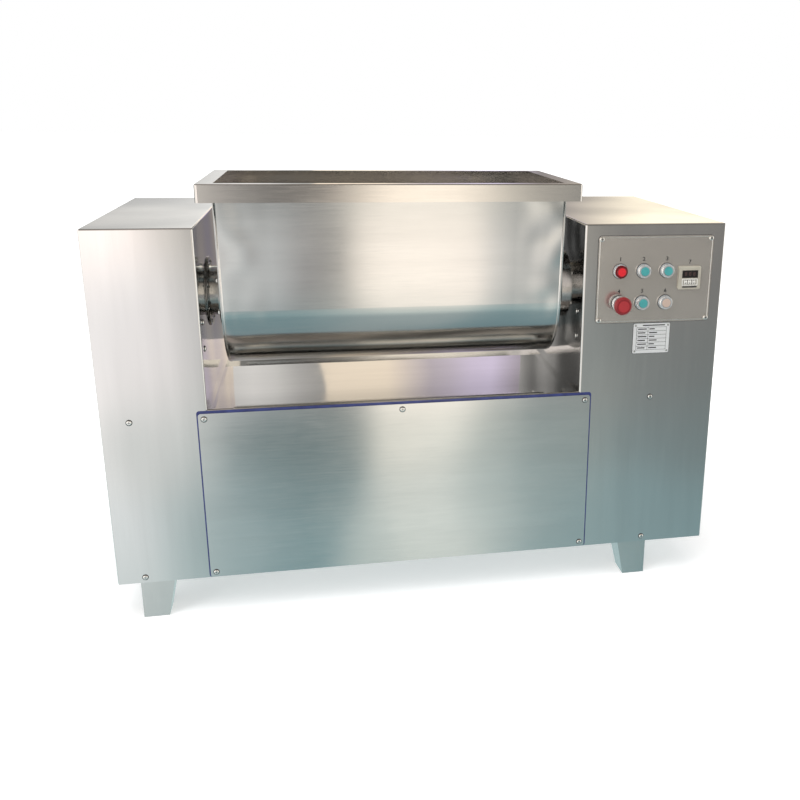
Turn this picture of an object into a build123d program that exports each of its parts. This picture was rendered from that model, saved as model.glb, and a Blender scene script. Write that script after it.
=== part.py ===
from build123d import *
import os
from math import acos, atan2, cos, hypot, pi, sin

# Horizontal trough mixer: a tilting U trough with a double ribbon agitator hangs
# between two drive cabinets on a common base. Millimetres, +Z up, front is -Y.
# The origin is on the floor under the middle of the machine.

# Overall form
overall_length = 1350.0
cabinet_depth = 610.0
cabinet_above_axis = 168.0
foot_height = 90.0
left_cabinet_width = 213.0
right_cabinet_width = 326.0
cabinet_sheet = 3.0
side_cover_thickness = 3.0
side_cover_rounding = 2.0
fold_radius = 4.0
base_plate_thickness = 4.0
seat_gap = 0.3
seat_fit = 0.05
running_fit = 0.05
cut_overrun = 1.0

# Deck between the cabinets
deck_height = 480.0
deck_sheet = 2.0
deck_lip_height = 40.0
deck_fold_inner_radius = 2.0
tray_depth = 10.0
tray_side_ledge = 9.0
tray_front_ledge = 12.0
tray_length = 385.0
rear_panel_thickness = 2.0

# Front panel and the film behind its edge
panel_overlap_left = 19.5
panel_overlap_right = 26.0
panel_bottom_gap = 1.0
panel_below_deck = 8.0
panel_thickness = 1.5
panel_corner_radius = 6.0
film_thickness = 0.5
film_side_margin = 3.0
film_top_margin = 6.0
panel_screw_side_inset = 12.0
panel_screw_end_inset = 12.0

# Feet
foot_top_size = 72.0
foot_bottom_size = 54.0
foot_wall = 3.0
left_foot_inset = 44.0
right_foot_inset = 139.0
foot_depth_inset = 10.0

# Trough, measured from the axis that it tilts about
trough_axis_height = 692.0
trough_axis_from_front = 210.0
trough_radius = 157.0
trough_mouth_half_width = 177.0
trough_sheet = 3.0
trough_end_thickness = 4.0
trough_end_gap = 37.0
rim_above_axis = 253.0
rim_height = 37.0
rim_overhang = 24.0
rim_end_overhang = 30.5
rim_sheet = 3.0
rim_corner_radius = 6.0
rim_edge_radius = 3.0

# Trunnions and their bearings
trunnion_flange_radius = 80.0
trunnion_flange_thickness = 12.0
trunnion_hub_radius = 54.0
trunnion_hub_clearance = 2.0
trunnion_journal_radius = 45.0
tilt_stub_radius = 30.0
bearing_body_radius = 62.0
bearing_flange_radius = 80.0
bearing_flange_thickness = 12.0
bearing_depth = 34.0
flange_bolt_count = 6
bolt_head_radius = 7.0
bolt_head_height = 6.0
bolt_dome_radius = 8.8
index_stud_radius = 3.0
index_stud_length = 14.0
index_stud_head_radius = 8.0
index_stud_head_height = 4.0
bush_wall = 8.0
bush_length = 36.0
seal_radius = 42.0
seal_thickness = 6.0
seal_edge = 1.5

# Agitator
shaft_radius = 25.0
ribbon_wall_gap = 5.0
ribbon_end_gap = 8.0
ribbon_width = 40.0
ribbon_thickness = 8.0
ribbon_turns = 1.0
ribbon_count = 2
arm_stations = 4
arm_radius = 11.0
arm_hub_wall = 11.0
arm_hub_length = 40.0
shaft_end_overrun = 12.0
shaft_end_chamfer = 1.5

# Main drive in the right cabinet
main_wheel_case_radius = 120.0
main_reducer_width = 120.0
main_worm_drop = 100.0
main_barrel_radius = 48.0
main_barrel_half_length = 115.0
main_input_radius = 14.0
main_input_share = 0.3
reducer_pulley_radius = 90.0
motor_pulley_radius = 45.0
pulley_width = 40.0
pulley_gap = 22.0
belt_top_width = 13.0
belt_height = 9.0
belt_slope = 3.0
belt_spacing = 18.0
groove_clearance = 0.4
main_motor_radius = 96.0
main_motor_length = 245.0
main_motor_height = 112.0
main_motor_wall_gap = 56.0
fan_cover_length = 55.0
motor_rail_height = 26.0
motor_rail_width = 40.0
motor_rail_length = 210.0
motor_rail_pitch = 140.0
motor_foot_thickness = 12.0

# Tilt drive in the left cabinet
tilt_wheel_case_radius = 85.0
tilt_reducer_width = 100.0
tilt_worm_drop = 75.0
tilt_barrel_radius = 38.0
tilt_barrel_half_length = 88.0
tilt_motor_radius = 66.0
tilt_motor_length = 180.0

# Motor details
motor_core_share = 0.87
motor_shield_share = 0.1
terminal_box_share = 0.45
terminal_box_rise = 1.3
fin_thickness = 3.0
fin_inset = 1.0
fin_count = 24
fan_slot_count = 12
fan_cover_rounding = 5.4
reducer_shoulder_share = 0.1
reducer_rounding_share = 0.8
reducer_boss_radius = 55.8

# Control plate on the right cabinet
control_plate_width = 269.5
control_plate_height = 195.5
control_plate_inset = 26.0
control_plate_thickness = 1.5
control_plate_corner = 8.0
control_screw_inset = 7.0
first_column = 52.0
column_pitch = 54.6
first_row = 78.0
row_pitch = 72.0

# Push buttons, lamp and stop button
bezel_radius = 14.75
bezel_height = 12.0
bezel_rim_depth = 5.5
bezel_neck_radius = 13.0
bezel_base_radius = 16.0
bezel_base_height = 1.6
bezel_chamfer = 1.2
bezel_recess_radius = 10.2
bezel_floor = 1.5
lamp_bezel_height = 8.5
lamp_flange_radius = 14.4
lamp_flange_height = 2.6
lamp_dome_radius = 11.0
stop_collar_radius = 17.5
stop_collar_height = 14.0
shank_radius = 11.0
shank_length = 26.0
shank_hole_clearance = 0.2
button_clearance = 0.4
button_travel = 3.0
button_proud = 1.4
button_edge = 1.0
stem_radius = 7.0
stem_clearance = 0.3
stem_end_gap = 5.0
lamp_dome_height = 3.4
lamp_dome_edge = 1.8
stop_head_radius = 20.0
stop_neck_height = 22.0
stop_head_height = 17.0
stop_travel = 4.0
stop_spigot_radius = 5.0
contact_block_width = 30.0
contact_block_height = 40.0
contact_block_depth = 32.0

# Timer
timer_size = 52.0
timer_below_plate_top = 95.5
timer_proud = 6.0
timer_body_size = 45.0
timer_body_depth = 55.0
timer_skin = 1.2
timer_corner = 3.0
timer_bevel = 1.6
timer_border = 7.0
timer_window_height = 17.4
timer_window_depth = 2.0
timer_window_rise = 8.7
wheel_radius = 9.0
wheel_width = 8.0
wheel_pitch = 10.0
wheel_count = 3
wheel_faces = 10
wheel_axis_depth = 8.4
wheel_drop = 9.5
wheel_slot_height = 11.6
wheel_pin_radius = 1.5

# Rating plate
rating_plate_width = 87.0
rating_plate_height = 70.0
rating_plate_thickness = 1.0
rating_plate_gap = 3.0
rating_plate_corner = 3.0
rivet_radius = 2.2
rivet_height = 1.0
rivet_inset = 5.0

# Fasteners
screw_head_radius = 5.4
screw_head_height = 3.0
screw_head_rounding = 2.2
cabinet_screw_from_side = 57.0
right_cabinet_screw_from_side = 154.5
cabinet_screw_top = 460.0
cabinet_screw_bottom = 103.0
cover_screw_inset = 20.0
bay_screw_from_front = 42.0
bay_screw_heights = (602.0, 659.0)

# Electrical parts and cable inlet
electrical_plate_width = 230.0
electrical_plate_height = 320.0
electrical_plate_thickness = 2.0
electrical_standoff = 14.0
electrical_standoff_radius = 5.0
electrical_plate_top_gap = 60.0
contactor_width = 45.0
contactor_height = 78.0
contactor_depth = 72.0
contactor_gap = 10.0
contactor_count = 4
contactor_nose = 18.0
gland_height = 62.0
gland_inset = 70.0
gland_radius = 13.0
gland_bore_radius = 6.5
gland_length = 22.0
gland_thread_radius = 10.0
gland_thread_length = 9.0
gland_cap_radius = 10.4

# Places worked out from the sizes above
half_length = overall_length / 2
half_depth = cabinet_depth / 2
front_y = -half_depth
rear_y = half_depth
base_top = foot_height + base_plate_thickness
bay_left = -half_length + left_cabinet_width
bay_right = half_length - right_cabinet_width
axis_y = front_y + trough_axis_from_front
axis_z = trough_axis_height
cabinet_top = axis_z + cabinet_above_axis
trough_left = bay_left + trough_end_gap
trough_right = bay_right - trough_end_gap
rim_top = axis_z + rim_above_axis
rim_bottom = rim_top - rim_height
bush_radius = shaft_radius + bush_wall
flange_bolt_circle = (bearing_body_radius + bearing_flange_radius) / 2
plate_front = front_y - control_plate_thickness
plate_right = half_length - control_plate_inset
plate_left = plate_right - control_plate_width
plate_top = cabinet_top - control_plate_inset
plate_bottom = plate_top - control_plate_height


def block(x0, x1, y0, y1, z0, z1):
    """A box between two corners."""
    return Pos((x0 + x1) / 2, (y0 + y1) / 2, (z0 + z1) / 2) * Box(x1 - x0, y1 - y0, z1 - z0)


def rod_x(radius, x0, x1, y=axis_y, z=axis_z):
    """A round bar along X, on the tilt axis unless told otherwise."""
    return Pos((x0 + x1) / 2, y, z) * Rot(0, 90, 0) * Cylinder(radius, x1 - x0)


def rod_y(radius, x, y0, y1, z):
    """A round bar along Y."""
    return Pos(x, (y0 + y1) / 2, z) * Rot(90, 0, 0) * Cylinder(radius, y1 - y0)


def turned_x(points, y=axis_y, z=axis_z):
    """A turned piece: the outline of (x, radius) points spun about the tilt axis."""
    outline = make_face(Polyline(*points, close=True))
    return Pos(0, y, z) * revolve(outline, Axis.X)


def turned_front(points, x, z, y=plate_front):
    """A turned piece on the front: (radius, height off the plate) spun about a line along Y."""
    outline = make_face(Polyline(*points, close=True))
    return Pos(x, y, z) * Rot(0, 0, 180) * revolve(outline, Axis.Y)


def rounded_plate(x0, x1, z0, z1, y0, y1, radius):
    """An upright plate, parallel to the front, with rounded corners."""
    outline = Plane.XZ * Pos((x0 + x1) / 2, (z0 + z1) / 2) * RectangleRounded(x1 - x0, z1 - z0, radius)
    return Pos(0, y1, 0) * extrude(outline, y1 - y0)


def facing(point, direction, shape):
    """Turns a shape that stands on XY so that it stands on a point, facing a direction."""
    return Plane(origin=point, z_dir=direction).location * shape


def screw_head():
    """A low domed head."""
    head = Pos(0, 0, screw_head_height / 2) * Cylinder(screw_head_radius, screw_head_height)
    return fillet(head.edges().sort_by(Axis.Z)[-1], screw_head_rounding)


def bolt_head():
    """A hexagon head with a domed top."""
    head = extrude(RegularPolygon(bolt_head_radius, 6), bolt_head_height)
    return head & Pos(0, 0, bolt_head_height - bolt_dome_radius) * Sphere(bolt_dome_radius)


def screws_on(points, direction):
    """Screw heads at a list of points, all facing one way."""
    return [facing(point, direction, screw_head()) for point in points]


def save(name, *solids):
    """Writes one sub-part, as one solid or as a group of separate solids."""
    shape = solids[0] if len(solids) == 1 else Compound(children=list(solids))
    export_step(shape, f"parts/{name}.step")


os.makedirs("parts", exist_ok=True)

# Cabinets
# Each is a folded shell with front, top, rear and bay wall in one. The outer side is
# closed by a separate cover, and the bottom by the base plate that both stand on.


def cabinet_shell(open_x, wall_x):
    low_x = min(open_x, wall_x)
    high_x = max(open_x, wall_x)
    shell = block(low_x, high_x, front_y, rear_y, foot_height, cabinet_top)
    folds = [
        edge
        for edge in shell.edges()
        if abs(edge.center().X - open_x) > cabinet_sheet
        and abs(edge.center().Z - foot_height) > cabinet_sheet
    ]
    shell = fillet(folds, fold_radius)
    inner_low = low_x - cut_overrun if open_x < wall_x else low_x + cabinet_sheet
    inner_high = high_x - cabinet_sheet if open_x < wall_x else high_x + cut_overrun
    inside_front = front_y + cabinet_sheet
    inside_rear = rear_y - cabinet_sheet
    cut_bottom = foot_height - cut_overrun
    inside_top = cabinet_top - cabinet_sheet
    shell -= block(inner_low, inner_high, inside_front, inside_rear, cut_bottom, inside_top)
    cut_low = low_x - cut_overrun
    cut_high = high_x + cut_overrun
    return shell - block(cut_low, cut_high, inside_front, inside_rear, cut_bottom, base_top)


def side_cover(outer_x, inner_x):
    cover = block(min(outer_x, inner_x), max(outer_x, inner_x), front_y, rear_y, foot_height, cabinet_top)
    outer_face = cover.faces().sort_by(Axis.X)[0 if outer_x < inner_x else -1]
    return fillet(outer_face.edges(), side_cover_rounding)


left_open = -half_length + side_cover_thickness
right_open = half_length - side_cover_thickness
left_wall_inside = bay_left - cabinet_sheet
right_wall_inside = bay_right + cabinet_sheet

left_shell = cabinet_shell(left_open, bay_left)
left_shell -= rod_x(
    trunnion_hub_radius + trunnion_hub_clearance, left_wall_inside - cut_overrun, bay_left + cut_overrun
)
save("left_cabinet_body", left_shell)

column_x = [plate_left + first_column + index * column_pitch for index in range(4)]
row_z = [plate_top - first_row - index * row_pitch for index in range(2)]
device_places = [(x, z) for z in row_z for x in column_x[:3]]
timer_x = column_x[3]
timer_z = plate_top - timer_below_plate_top
shank_hole_radius = shank_radius + shank_hole_clearance
timer_hole_half = timer_body_size / 2 + seat_gap


def control_holes(y0, y1):
    """The holes for the six round devices and the timer."""
    holes = [rod_y(shank_hole_radius, x, y0, y1, z) for x, z in device_places]
    holes.append(
        block(
            timer_x - timer_hole_half,
            timer_x + timer_hole_half,
            y0,
            y1,
            timer_z - timer_hole_half,
            timer_z + timer_hole_half,
        )
    )
    return holes


gland_x = half_length - gland_inset
gland_z = foot_height + gland_height
right_shell = cabinet_shell(right_open, bay_right)
right_shell -= rod_x(
    bearing_body_radius + seat_fit, bay_right - cut_overrun, right_wall_inside + cut_overrun
)
right_shell -= control_holes(front_y - cut_overrun, front_y + cabinet_sheet + cut_overrun)
right_shell -= rod_y(
    gland_thread_radius + seat_fit,
    gland_x,
    rear_y - cabinet_sheet - cut_overrun,
    rear_y + cut_overrun,
    gland_z,
)
save("right_cabinet_body", right_shell)

save("left_side_cover", side_cover(-half_length, left_open))
save("right_side_cover", side_cover(half_length, right_open))

# Base plate, deck and panels
base_half_depth = half_depth - cabinet_sheet - seat_fit
save(
    "base_plate",
    block(left_open, right_open, -base_half_depth, base_half_depth, foot_height, base_top),
)

deck_bottom = deck_height - deck_sheet
tray_floor = deck_height - tray_depth
tray_left = bay_left + tray_side_ledge
tray_right = bay_right - tray_side_ledge
tray_front = front_y + tray_front_ledge
tray_rear = tray_front + tray_length
deck = block(bay_left, bay_right, front_y, rear_y, deck_bottom, deck_height)
deck += block(bay_left, bay_right, front_y, front_y + deck_sheet, deck_height - deck_lip_height, deck_height)


def fold_edge(sheet, y, z):
    """The edge along X that runs nearest to a point of the section."""

    def distance(edge):
        return hypot(edge.center().Y - y, edge.center().Z - z)

    return sheet.edges().filter_by(Axis.X).sort_by(distance)[0]


deck = fillet(fold_edge(deck, front_y + deck_sheet, deck_bottom), deck_fold_inner_radius)
deck = fillet(fold_edge(deck, front_y, deck_height), deck_fold_inner_radius + deck_sheet)
deck += block(
    tray_left - deck_sheet,
    tray_right + deck_sheet,
    tray_front - deck_sheet,
    tray_rear + deck_sheet,
    tray_floor - deck_sheet,
    deck_height,
)
deck -= block(tray_left, tray_right, tray_front, tray_rear, tray_floor, deck_height + cut_overrun)
save("deck_tray", deck)

panel_left = bay_left - panel_overlap_left
panel_right = bay_right + panel_overlap_right
panel_bottom = foot_height + panel_bottom_gap
panel_top = deck_height - panel_below_deck
film_front = front_y - film_thickness
panel_front = film_front - panel_thickness
save(
    "front_panel_film",
    rounded_plate(
        panel_left - film_side_margin,
        panel_right + film_side_margin,
        panel_bottom,
        panel_top + film_top_margin,
        film_front,
        front_y,
        panel_corner_radius,
    ),
)
save(
    "front_panel",
    rounded_plate(
        panel_left, panel_right, panel_bottom, panel_top, panel_front, film_front, panel_corner_radius
    ),
)
save(
    "rear_panel",
    block(bay_left, bay_right, rear_y - rear_panel_thickness, rear_y, base_top, deck_bottom),
)

# Feet
# Folded box feet: the two outer sides are upright, the two inner sides lean in.


def foot(outer_x, inward_x, outer_y, inward_y):
    def section(size, height, wall):
        middle_x = outer_x + inward_x * size / 2
        middle_y = outer_y + inward_y * size / 2
        return Pos(middle_x, middle_y, height) * Rectangle(size - 2 * wall, size - 2 * wall)

    body = loft([section(foot_bottom_size, 0, 0), section(foot_top_size, foot_height, 0)])
    hollow_bottom = section(foot_bottom_size, foot_wall, foot_wall)
    hollow_top = section(foot_top_size, foot_height, foot_wall)
    return body - loft([hollow_bottom, hollow_top])


foot_y = half_depth - foot_depth_inset
foot_sides = {
    "left": (-half_length + left_foot_inset, 1),
    "right": (half_length - right_foot_inset, -1),
}
for end_name, end_y, inward_y in (("front", -foot_y, 1), ("rear", foot_y, -1)):
    for side_name, (outer_x, inward_x) in foot_sides.items():
        save(f"foot_{end_name}_{side_name}", foot(outer_x, inward_x, end_y, inward_y))

# Trough
# A sheet bent to a U with sides that open out, two welded end plates and a folded rim.


def trough_outline(radius, half_width, top, x):
    """U outline: an arc about the axis, with a tangent straight side up to each rim point."""
    reach = hypot(half_width, top)
    tangent = atan2(top, -half_width) + acos(radius / reach)
    side_y = radius * cos(tangent)
    side_z = radius * sin(tangent)
    left_side = Line((-half_width, top), (side_y, side_z))
    bottom = ThreePointArc((side_y, side_z), (0, -radius), (-side_y, side_z))
    right_side = Line((-side_y, side_z), (half_width, top))
    mouth = Line((half_width, top), (-half_width, top))
    outline = make_face([left_side, bottom, right_side, mouth])
    return Plane(origin=(x, axis_y, axis_z), x_dir=(0, 1, 0), z_dir=(1, 0, 0)) * outline


rim_foot = rim_bottom - axis_z
inside_left = trough_left + trough_end_thickness
inside_right = trough_right - trough_end_thickness
outer_radius = trough_radius + trough_sheet
outer_half_width = trough_mouth_half_width + trough_sheet
outer_section = trough_outline(outer_radius, outer_half_width, rim_foot, inside_left)
inner_section = trough_outline(trough_radius, trough_mouth_half_width, rim_foot, inside_left)
save("trough_shell", extrude(outer_section - inner_section, inside_right - inside_left))

for side_name, plate_x in (("left", trough_left), ("right", inside_right)):
    end_plate = extrude(
        trough_outline(outer_radius, outer_half_width, rim_foot, plate_x), trough_end_thickness
    )
    end_plate -= rod_x(
        bush_radius + seat_fit, plate_x - cut_overrun, plate_x + trough_end_thickness + cut_overrun
    )
    save(f"trough_end_{side_name}", end_plate)

rim_left = trough_left - rim_end_overhang
rim_right = trough_right + rim_end_overhang
rim_half_width = trough_mouth_half_width + rim_overhang
rim = block(rim_left, rim_right, axis_y - rim_half_width, axis_y + rim_half_width, rim_bottom, rim_top)
rim = fillet(rim.edges().filter_by(Axis.Z), rim_corner_radius)
rim = fillet(rim.faces().sort_by(Axis.Z)[-1].edges(), rim_edge_radius)
rim_channel = block(
    rim_left + rim_sheet,
    rim_right - rim_sheet,
    axis_y - rim_half_width + rim_sheet,
    axis_y + rim_half_width - rim_sheet,
    rim_bottom - cut_overrun,
    rim_top - rim_sheet,
)
rim_channel -= block(
    trough_left,
    trough_right,
    axis_y - outer_half_width,
    axis_y + outer_half_width,
    rim_bottom - 2 * cut_overrun,
    rim_top,
)
rim -= rim_channel
rim -= block(
    inside_left,
    inside_right,
    axis_y - trough_mouth_half_width,
    axis_y + trough_mouth_half_width,
    rim_bottom - cut_overrun,
    rim_top + cut_overrun,
)
save("trough_rim", rim)

# Trunnions, bushes and bearings
bush_seat = bush_radius + seat_fit
left_bush_end = inside_left - bush_length
right_bush_end = inside_right + bush_length
left_shoulder = left_wall_inside + seat_gap
left_journal_end = left_wall_inside - bearing_depth
tilt_reducer_outer = left_journal_end - tilt_reducer_width
left_trunnion = turned_x(
    [
        (trough_left, bush_seat),
        (trough_left, trunnion_flange_radius),
        (trough_left - trunnion_flange_thickness, trunnion_flange_radius),
        (trough_left - trunnion_flange_thickness, trunnion_hub_radius),
        (left_shoulder, trunnion_hub_radius),
        (left_shoulder, trunnion_journal_radius),
        (left_journal_end, trunnion_journal_radius),
        (left_journal_end, tilt_stub_radius),
        (tilt_reducer_outer, tilt_stub_radius),
        (tilt_reducer_outer, 0),
        (left_bush_end, 0),
        (left_bush_end, bush_seat),
    ]
)
save("left_trunnion", left_trunnion)

right_bearing_face = bay_right - bearing_flange_thickness
right_shoulder = right_bearing_face - seat_gap
right_bearing_end = right_wall_inside + bearing_depth
right_trunnion = turned_x(
    [
        (trough_right, bush_seat),
        (trough_right, trunnion_hub_radius),
        (right_shoulder, trunnion_hub_radius),
        (right_shoulder, trunnion_journal_radius),
        (right_bearing_end, trunnion_journal_radius),
        (right_bearing_end, shaft_radius + trunnion_hub_clearance),
        (right_bush_end, shaft_radius + trunnion_hub_clearance),
        (right_bush_end, bush_seat),
    ]
)
save("right_trunnion", right_trunnion)



def shaft_ring(radius, x0, x1):
    """A ring round the agitator shaft with a running fit."""
    bore = rod_x(shaft_radius + running_fit, x0 - cut_overrun, x1 + cut_overrun)
    return rod_x(radius, x0, x1) - bore


save(
    "shaft_bushes",
    shaft_ring(bush_radius, left_bush_end, inside_left),
    shaft_ring(bush_radius, inside_right, right_bush_end),
)


def shaft_seal(wall_x, inward):
    """A flat seal ring on the inside of an end plate, with its outer corner bevelled."""
    face_x = wall_x + inward * seal_thickness
    ring = shaft_ring(seal_radius, min(wall_x, face_x), max(wall_x, face_x))
    corner = [
        edge
        for edge in ring.edges().filter_by(GeomType.CIRCLE)
        if edge.radius > shaft_radius + seal_edge and abs(edge.center().X - face_x) < seal_edge
    ]
    return chamfer(corner, seal_edge)


save("shaft_seals", shaft_seal(inside_left, 1), shaft_seal(inside_right, -1))


journal_bore = trunnion_journal_radius + running_fit
save(
    "left_trunnion_bearing",
    turned_x(
        [
            (left_wall_inside, journal_bore),
            (left_wall_inside, bearing_flange_radius),
            (left_wall_inside - bearing_flange_thickness, bearing_flange_radius),
            (left_wall_inside - bearing_flange_thickness, bearing_body_radius),
            (left_journal_end, bearing_body_radius),
            (left_journal_end, journal_bore),
        ]
    ),
)
save(
    "right_trunnion_bearing",
    turned_x(
        [
            (right_bearing_face, journal_bore),
            (right_bearing_face, bearing_flange_radius),
            (bay_right, bearing_flange_radius),
            (bay_right, bearing_body_radius),
            (right_bearing_end, bearing_body_radius),
            (right_bearing_end, journal_bore),
        ]
    ),
)


def bolt_ring(x, direction):
    """Hexagon heads on the flange bolt circle, standing on a face across the tilt axis."""
    heads = []
    for index in range(flange_bolt_count):
        angle = 2 * pi * (index + 0.5) / flange_bolt_count
        point = (x, axis_y + flange_bolt_circle * cos(angle), axis_z + flange_bolt_circle * sin(angle))
        heads.append(facing(point, (direction, 0, 0), bolt_head()))
    return heads


flange_face = trough_left - trunnion_flange_thickness
stud_angle = 4 * pi / flange_bolt_count
stud_y = axis_y + flange_bolt_circle * cos(stud_angle)
stud_z = axis_z + flange_bolt_circle * sin(stud_angle)
stud_end = flange_face - index_stud_length
index_stud = rod_x(index_stud_radius, stud_end, flange_face, stud_y, stud_z)
index_stud += rod_x(index_stud_head_radius, stud_end - index_stud_head_height, stud_end, stud_y, stud_z)
save("trunnion_bolts", *bolt_ring(flange_face, -1), index_stud)
save(
    "bearing_bolts",
    *bolt_ring(left_wall_inside - bearing_flange_thickness, -1),
    *bolt_ring(right_bearing_face, -1),
)

# Agitator
# Two ribbons wind round the shaft half a turn apart. Arms through hubs on the shaft carry them.
ribbon_outer = trough_radius - ribbon_wall_gap
ribbon_middle = ribbon_outer - ribbon_width / 2
ribbon_start = inside_left + ribbon_end_gap
ribbon_length = inside_right - ribbon_end_gap - ribbon_start
shaft_right_end = right_bearing_end + main_reducer_width + shaft_end_overrun
agitator_shaft = rod_x(shaft_radius, left_bush_end + seat_gap, shaft_right_end)
agitator_shaft = chamfer(agitator_shaft.edges().filter_by(GeomType.CIRCLE), shaft_end_chamfer)
save("agitator_shaft", agitator_shaft)

ribbon_rise = Helix(ribbon_length / ribbon_turns, ribbon_length - ribbon_thickness, ribbon_middle)
ribbon_section = Plane(origin=ribbon_rise @ 0, x_dir=(1, 0, 0), z_dir=ribbon_rise % 0) * Rectangle(
    ribbon_width, ribbon_thickness
)
single_ribbon = sweep(ribbon_section, path=ribbon_rise, is_frenet=True)
ribbon_lie = Pos(ribbon_start + ribbon_thickness / 2, axis_y, axis_z) * Rot(0, 90, 0)
hub_radius = shaft_radius + seat_fit + arm_hub_wall
agitator = Part()
arm_span = ribbon_length - ribbon_thickness - arm_hub_length
for station in range(arm_stations):
    arm_z = arm_hub_length / 2 + arm_span * station / (arm_stations - 1)
    turn = 360 * ribbon_turns * arm_z / (ribbon_length - ribbon_thickness)
    agitator += Pos(0, 0, arm_z) * Cylinder(hub_radius, arm_hub_length)
    agitator += Pos(0, 0, arm_z) * Rot(0, 0, turn) * Rot(0, 90, 0) * Cylinder(arm_radius, 2 * ribbon_middle)
for index in range(ribbon_count):
    agitator += Rot(0, 0, 360 * index / ribbon_count) * single_ribbon
agitator -= Pos(0, 0, ribbon_length / 2) * Cylinder(shaft_radius + seat_fit, ribbon_length * 2)
save("agitator_ribbon", ribbon_lie * agitator)

# Worm reducers
# A round wheel case, hub bosses on both faces and a worm barrel across its lower side.


def worm_reducer(x0, x1, case_radius, drop, barrel_radius, barrel_half, bore, input_radius):
    inset = (x1 - x0) * reducer_shoulder_share
    middle_x = (x0 + x1) / 2
    case = rod_x(case_radius, x0 + inset, x1 - inset)
    case = fillet(case.edges().filter_by(GeomType.CIRCLE), inset * reducer_rounding_share)
    case += rod_x(reducer_boss_radius, x0, x1)
    worm_z = axis_z - drop
    case += rod_y(barrel_radius, middle_x, axis_y - barrel_half, axis_y + barrel_half, worm_z)
    case -= rod_x(bore, x0 - cut_overrun, x1 + cut_overrun)
    if input_radius:
        barrel_end = axis_y + barrel_half
        case -= rod_y(input_radius, middle_x, barrel_end - barrel_half / 2, barrel_end + cut_overrun, worm_z)
    return case


main_reducer_left = right_bearing_end
main_reducer_right = main_reducer_left + main_reducer_width
input_x = (main_reducer_left + main_reducer_right) / 2
input_z = axis_z - main_worm_drop
barrel_rear = axis_y + main_barrel_half_length
save(
    "main_reducer",
    worm_reducer(
        main_reducer_left,
        main_reducer_right,
        main_wheel_case_radius,
        main_worm_drop,
        main_barrel_radius,
        main_barrel_half_length,
        shaft_radius + running_fit,
        main_input_radius + running_fit,
    ),
)
save(
    "tilt_reducer",
    worm_reducer(
        tilt_reducer_outer,
        left_journal_end,
        tilt_wheel_case_radius,
        tilt_worm_drop,
        tilt_barrel_radius,
        tilt_barrel_half_length,
        tilt_stub_radius + running_fit,
        0,
    ),
)

# Motors
# A finned round casing between two end shields, with a terminal box on its side.


def finned_motor(radius, x, z, y0, y1, bore):
    core = radius * motor_core_share
    shield = (y1 - y0) * motor_shield_share
    casing = rod_y(core, x, y0, y1, z)
    casing += rod_y(radius, x, y0, y0 + shield, z)
    casing += rod_y(radius, x, y1 - shield, y1, z)
    fin_root = core - fin_thickness
    fin = block(-fin_thickness / 2, fin_thickness / 2, y0, y1, fin_root, radius - fin_inset)
    for index in range(fin_count):
        casing += Pos(x, 0, z) * Rot(0, 360 * (index + 0.5) / fin_count, 0) * fin
    box_half = radius * terminal_box_share
    box_top = z + radius * terminal_box_rise
    middle_y = (y0 + y1) / 2
    casing += block(x - box_half, x + box_half, middle_y - box_half, middle_y + box_half, z, box_top)
    if bore:
        casing -= rod_y(bore, x, y1 - (y1 - y0) * main_input_share, y1 + cut_overrun, z)
    return casing


def fan_cover(radius, x, z, y0, y1):
    """A drawn cup over the fan, open towards the motor, with a ring of air slots."""
    cup = rod_y(radius, x, y0, y1, z)
    cup = fillet(cup.edges().filter_by(GeomType.CIRCLE).sort_by(Axis.Y)[0], fan_cover_rounding)
    cup -= rod_y(radius - cabinet_sheet, x, y0 + cabinet_sheet, y1 + cut_overrun, z)
    slot_end = y0 + cabinet_sheet + cut_overrun
    slot = block(-fin_thickness, fin_thickness, y0 - cut_overrun, slot_end, radius / 4, radius * 3 / 4)
    for index in range(fan_slot_count):
        cup -= Pos(x, 0, z) * Rot(0, 360 * index / fan_slot_count, 0) * slot
    return cup


pulley_front = barrel_rear + pulley_gap
pulley_rear = pulley_front + pulley_width
motor_x = right_wall_inside + main_motor_wall_gap + main_motor_radius
motor_z = base_top + motor_rail_height + main_motor_height
motor_rear = barrel_rear
motor_front = motor_rear - main_motor_length
main_motor = finned_motor(
    main_motor_radius, motor_x, motor_z, motor_front, motor_rear, main_input_radius + running_fit
)
foot_half = motor_rail_length / 2
foot_bottom = base_top + motor_rail_height
motor_middle = (motor_front + motor_rear) / 2
sole_half = foot_half - motor_rail_width / 2
main_motor += block(
    motor_x - sole_half,
    motor_x + sole_half,
    motor_middle - motor_rail_pitch / 2 - motor_rail_width / 2,
    motor_middle + motor_rail_pitch / 2 + motor_rail_width / 2,
    foot_bottom,
    foot_bottom + motor_foot_thickness,
)
main_motor += block(
    motor_x - main_motor_radius / 2,
    motor_x + main_motor_radius / 2,
    motor_middle - motor_rail_pitch / 2,
    motor_middle + motor_rail_pitch / 2,
    foot_bottom,
    motor_z - main_motor_radius / 2,
)
save("main_motor", main_motor)


def motor_rail(rail_y):
    """A channel on the base plate, open side down."""
    half_width = motor_rail_width / 2
    x0 = motor_x - foot_half
    x1 = motor_x + foot_half
    rail = block(x0, x1, rail_y - half_width, rail_y + half_width, base_top, foot_bottom)
    inner_half = half_width - cabinet_sheet
    return rail - block(
        x0 - cut_overrun,
        x1 + cut_overrun,
        rail_y - inner_half,
        rail_y + inner_half,
        base_top - cut_overrun,
        foot_bottom - cabinet_sheet,
    )


save("main_motor_rails", *[motor_rail(motor_middle + sign * motor_rail_pitch / 2) for sign in (-1, 1)])

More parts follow.
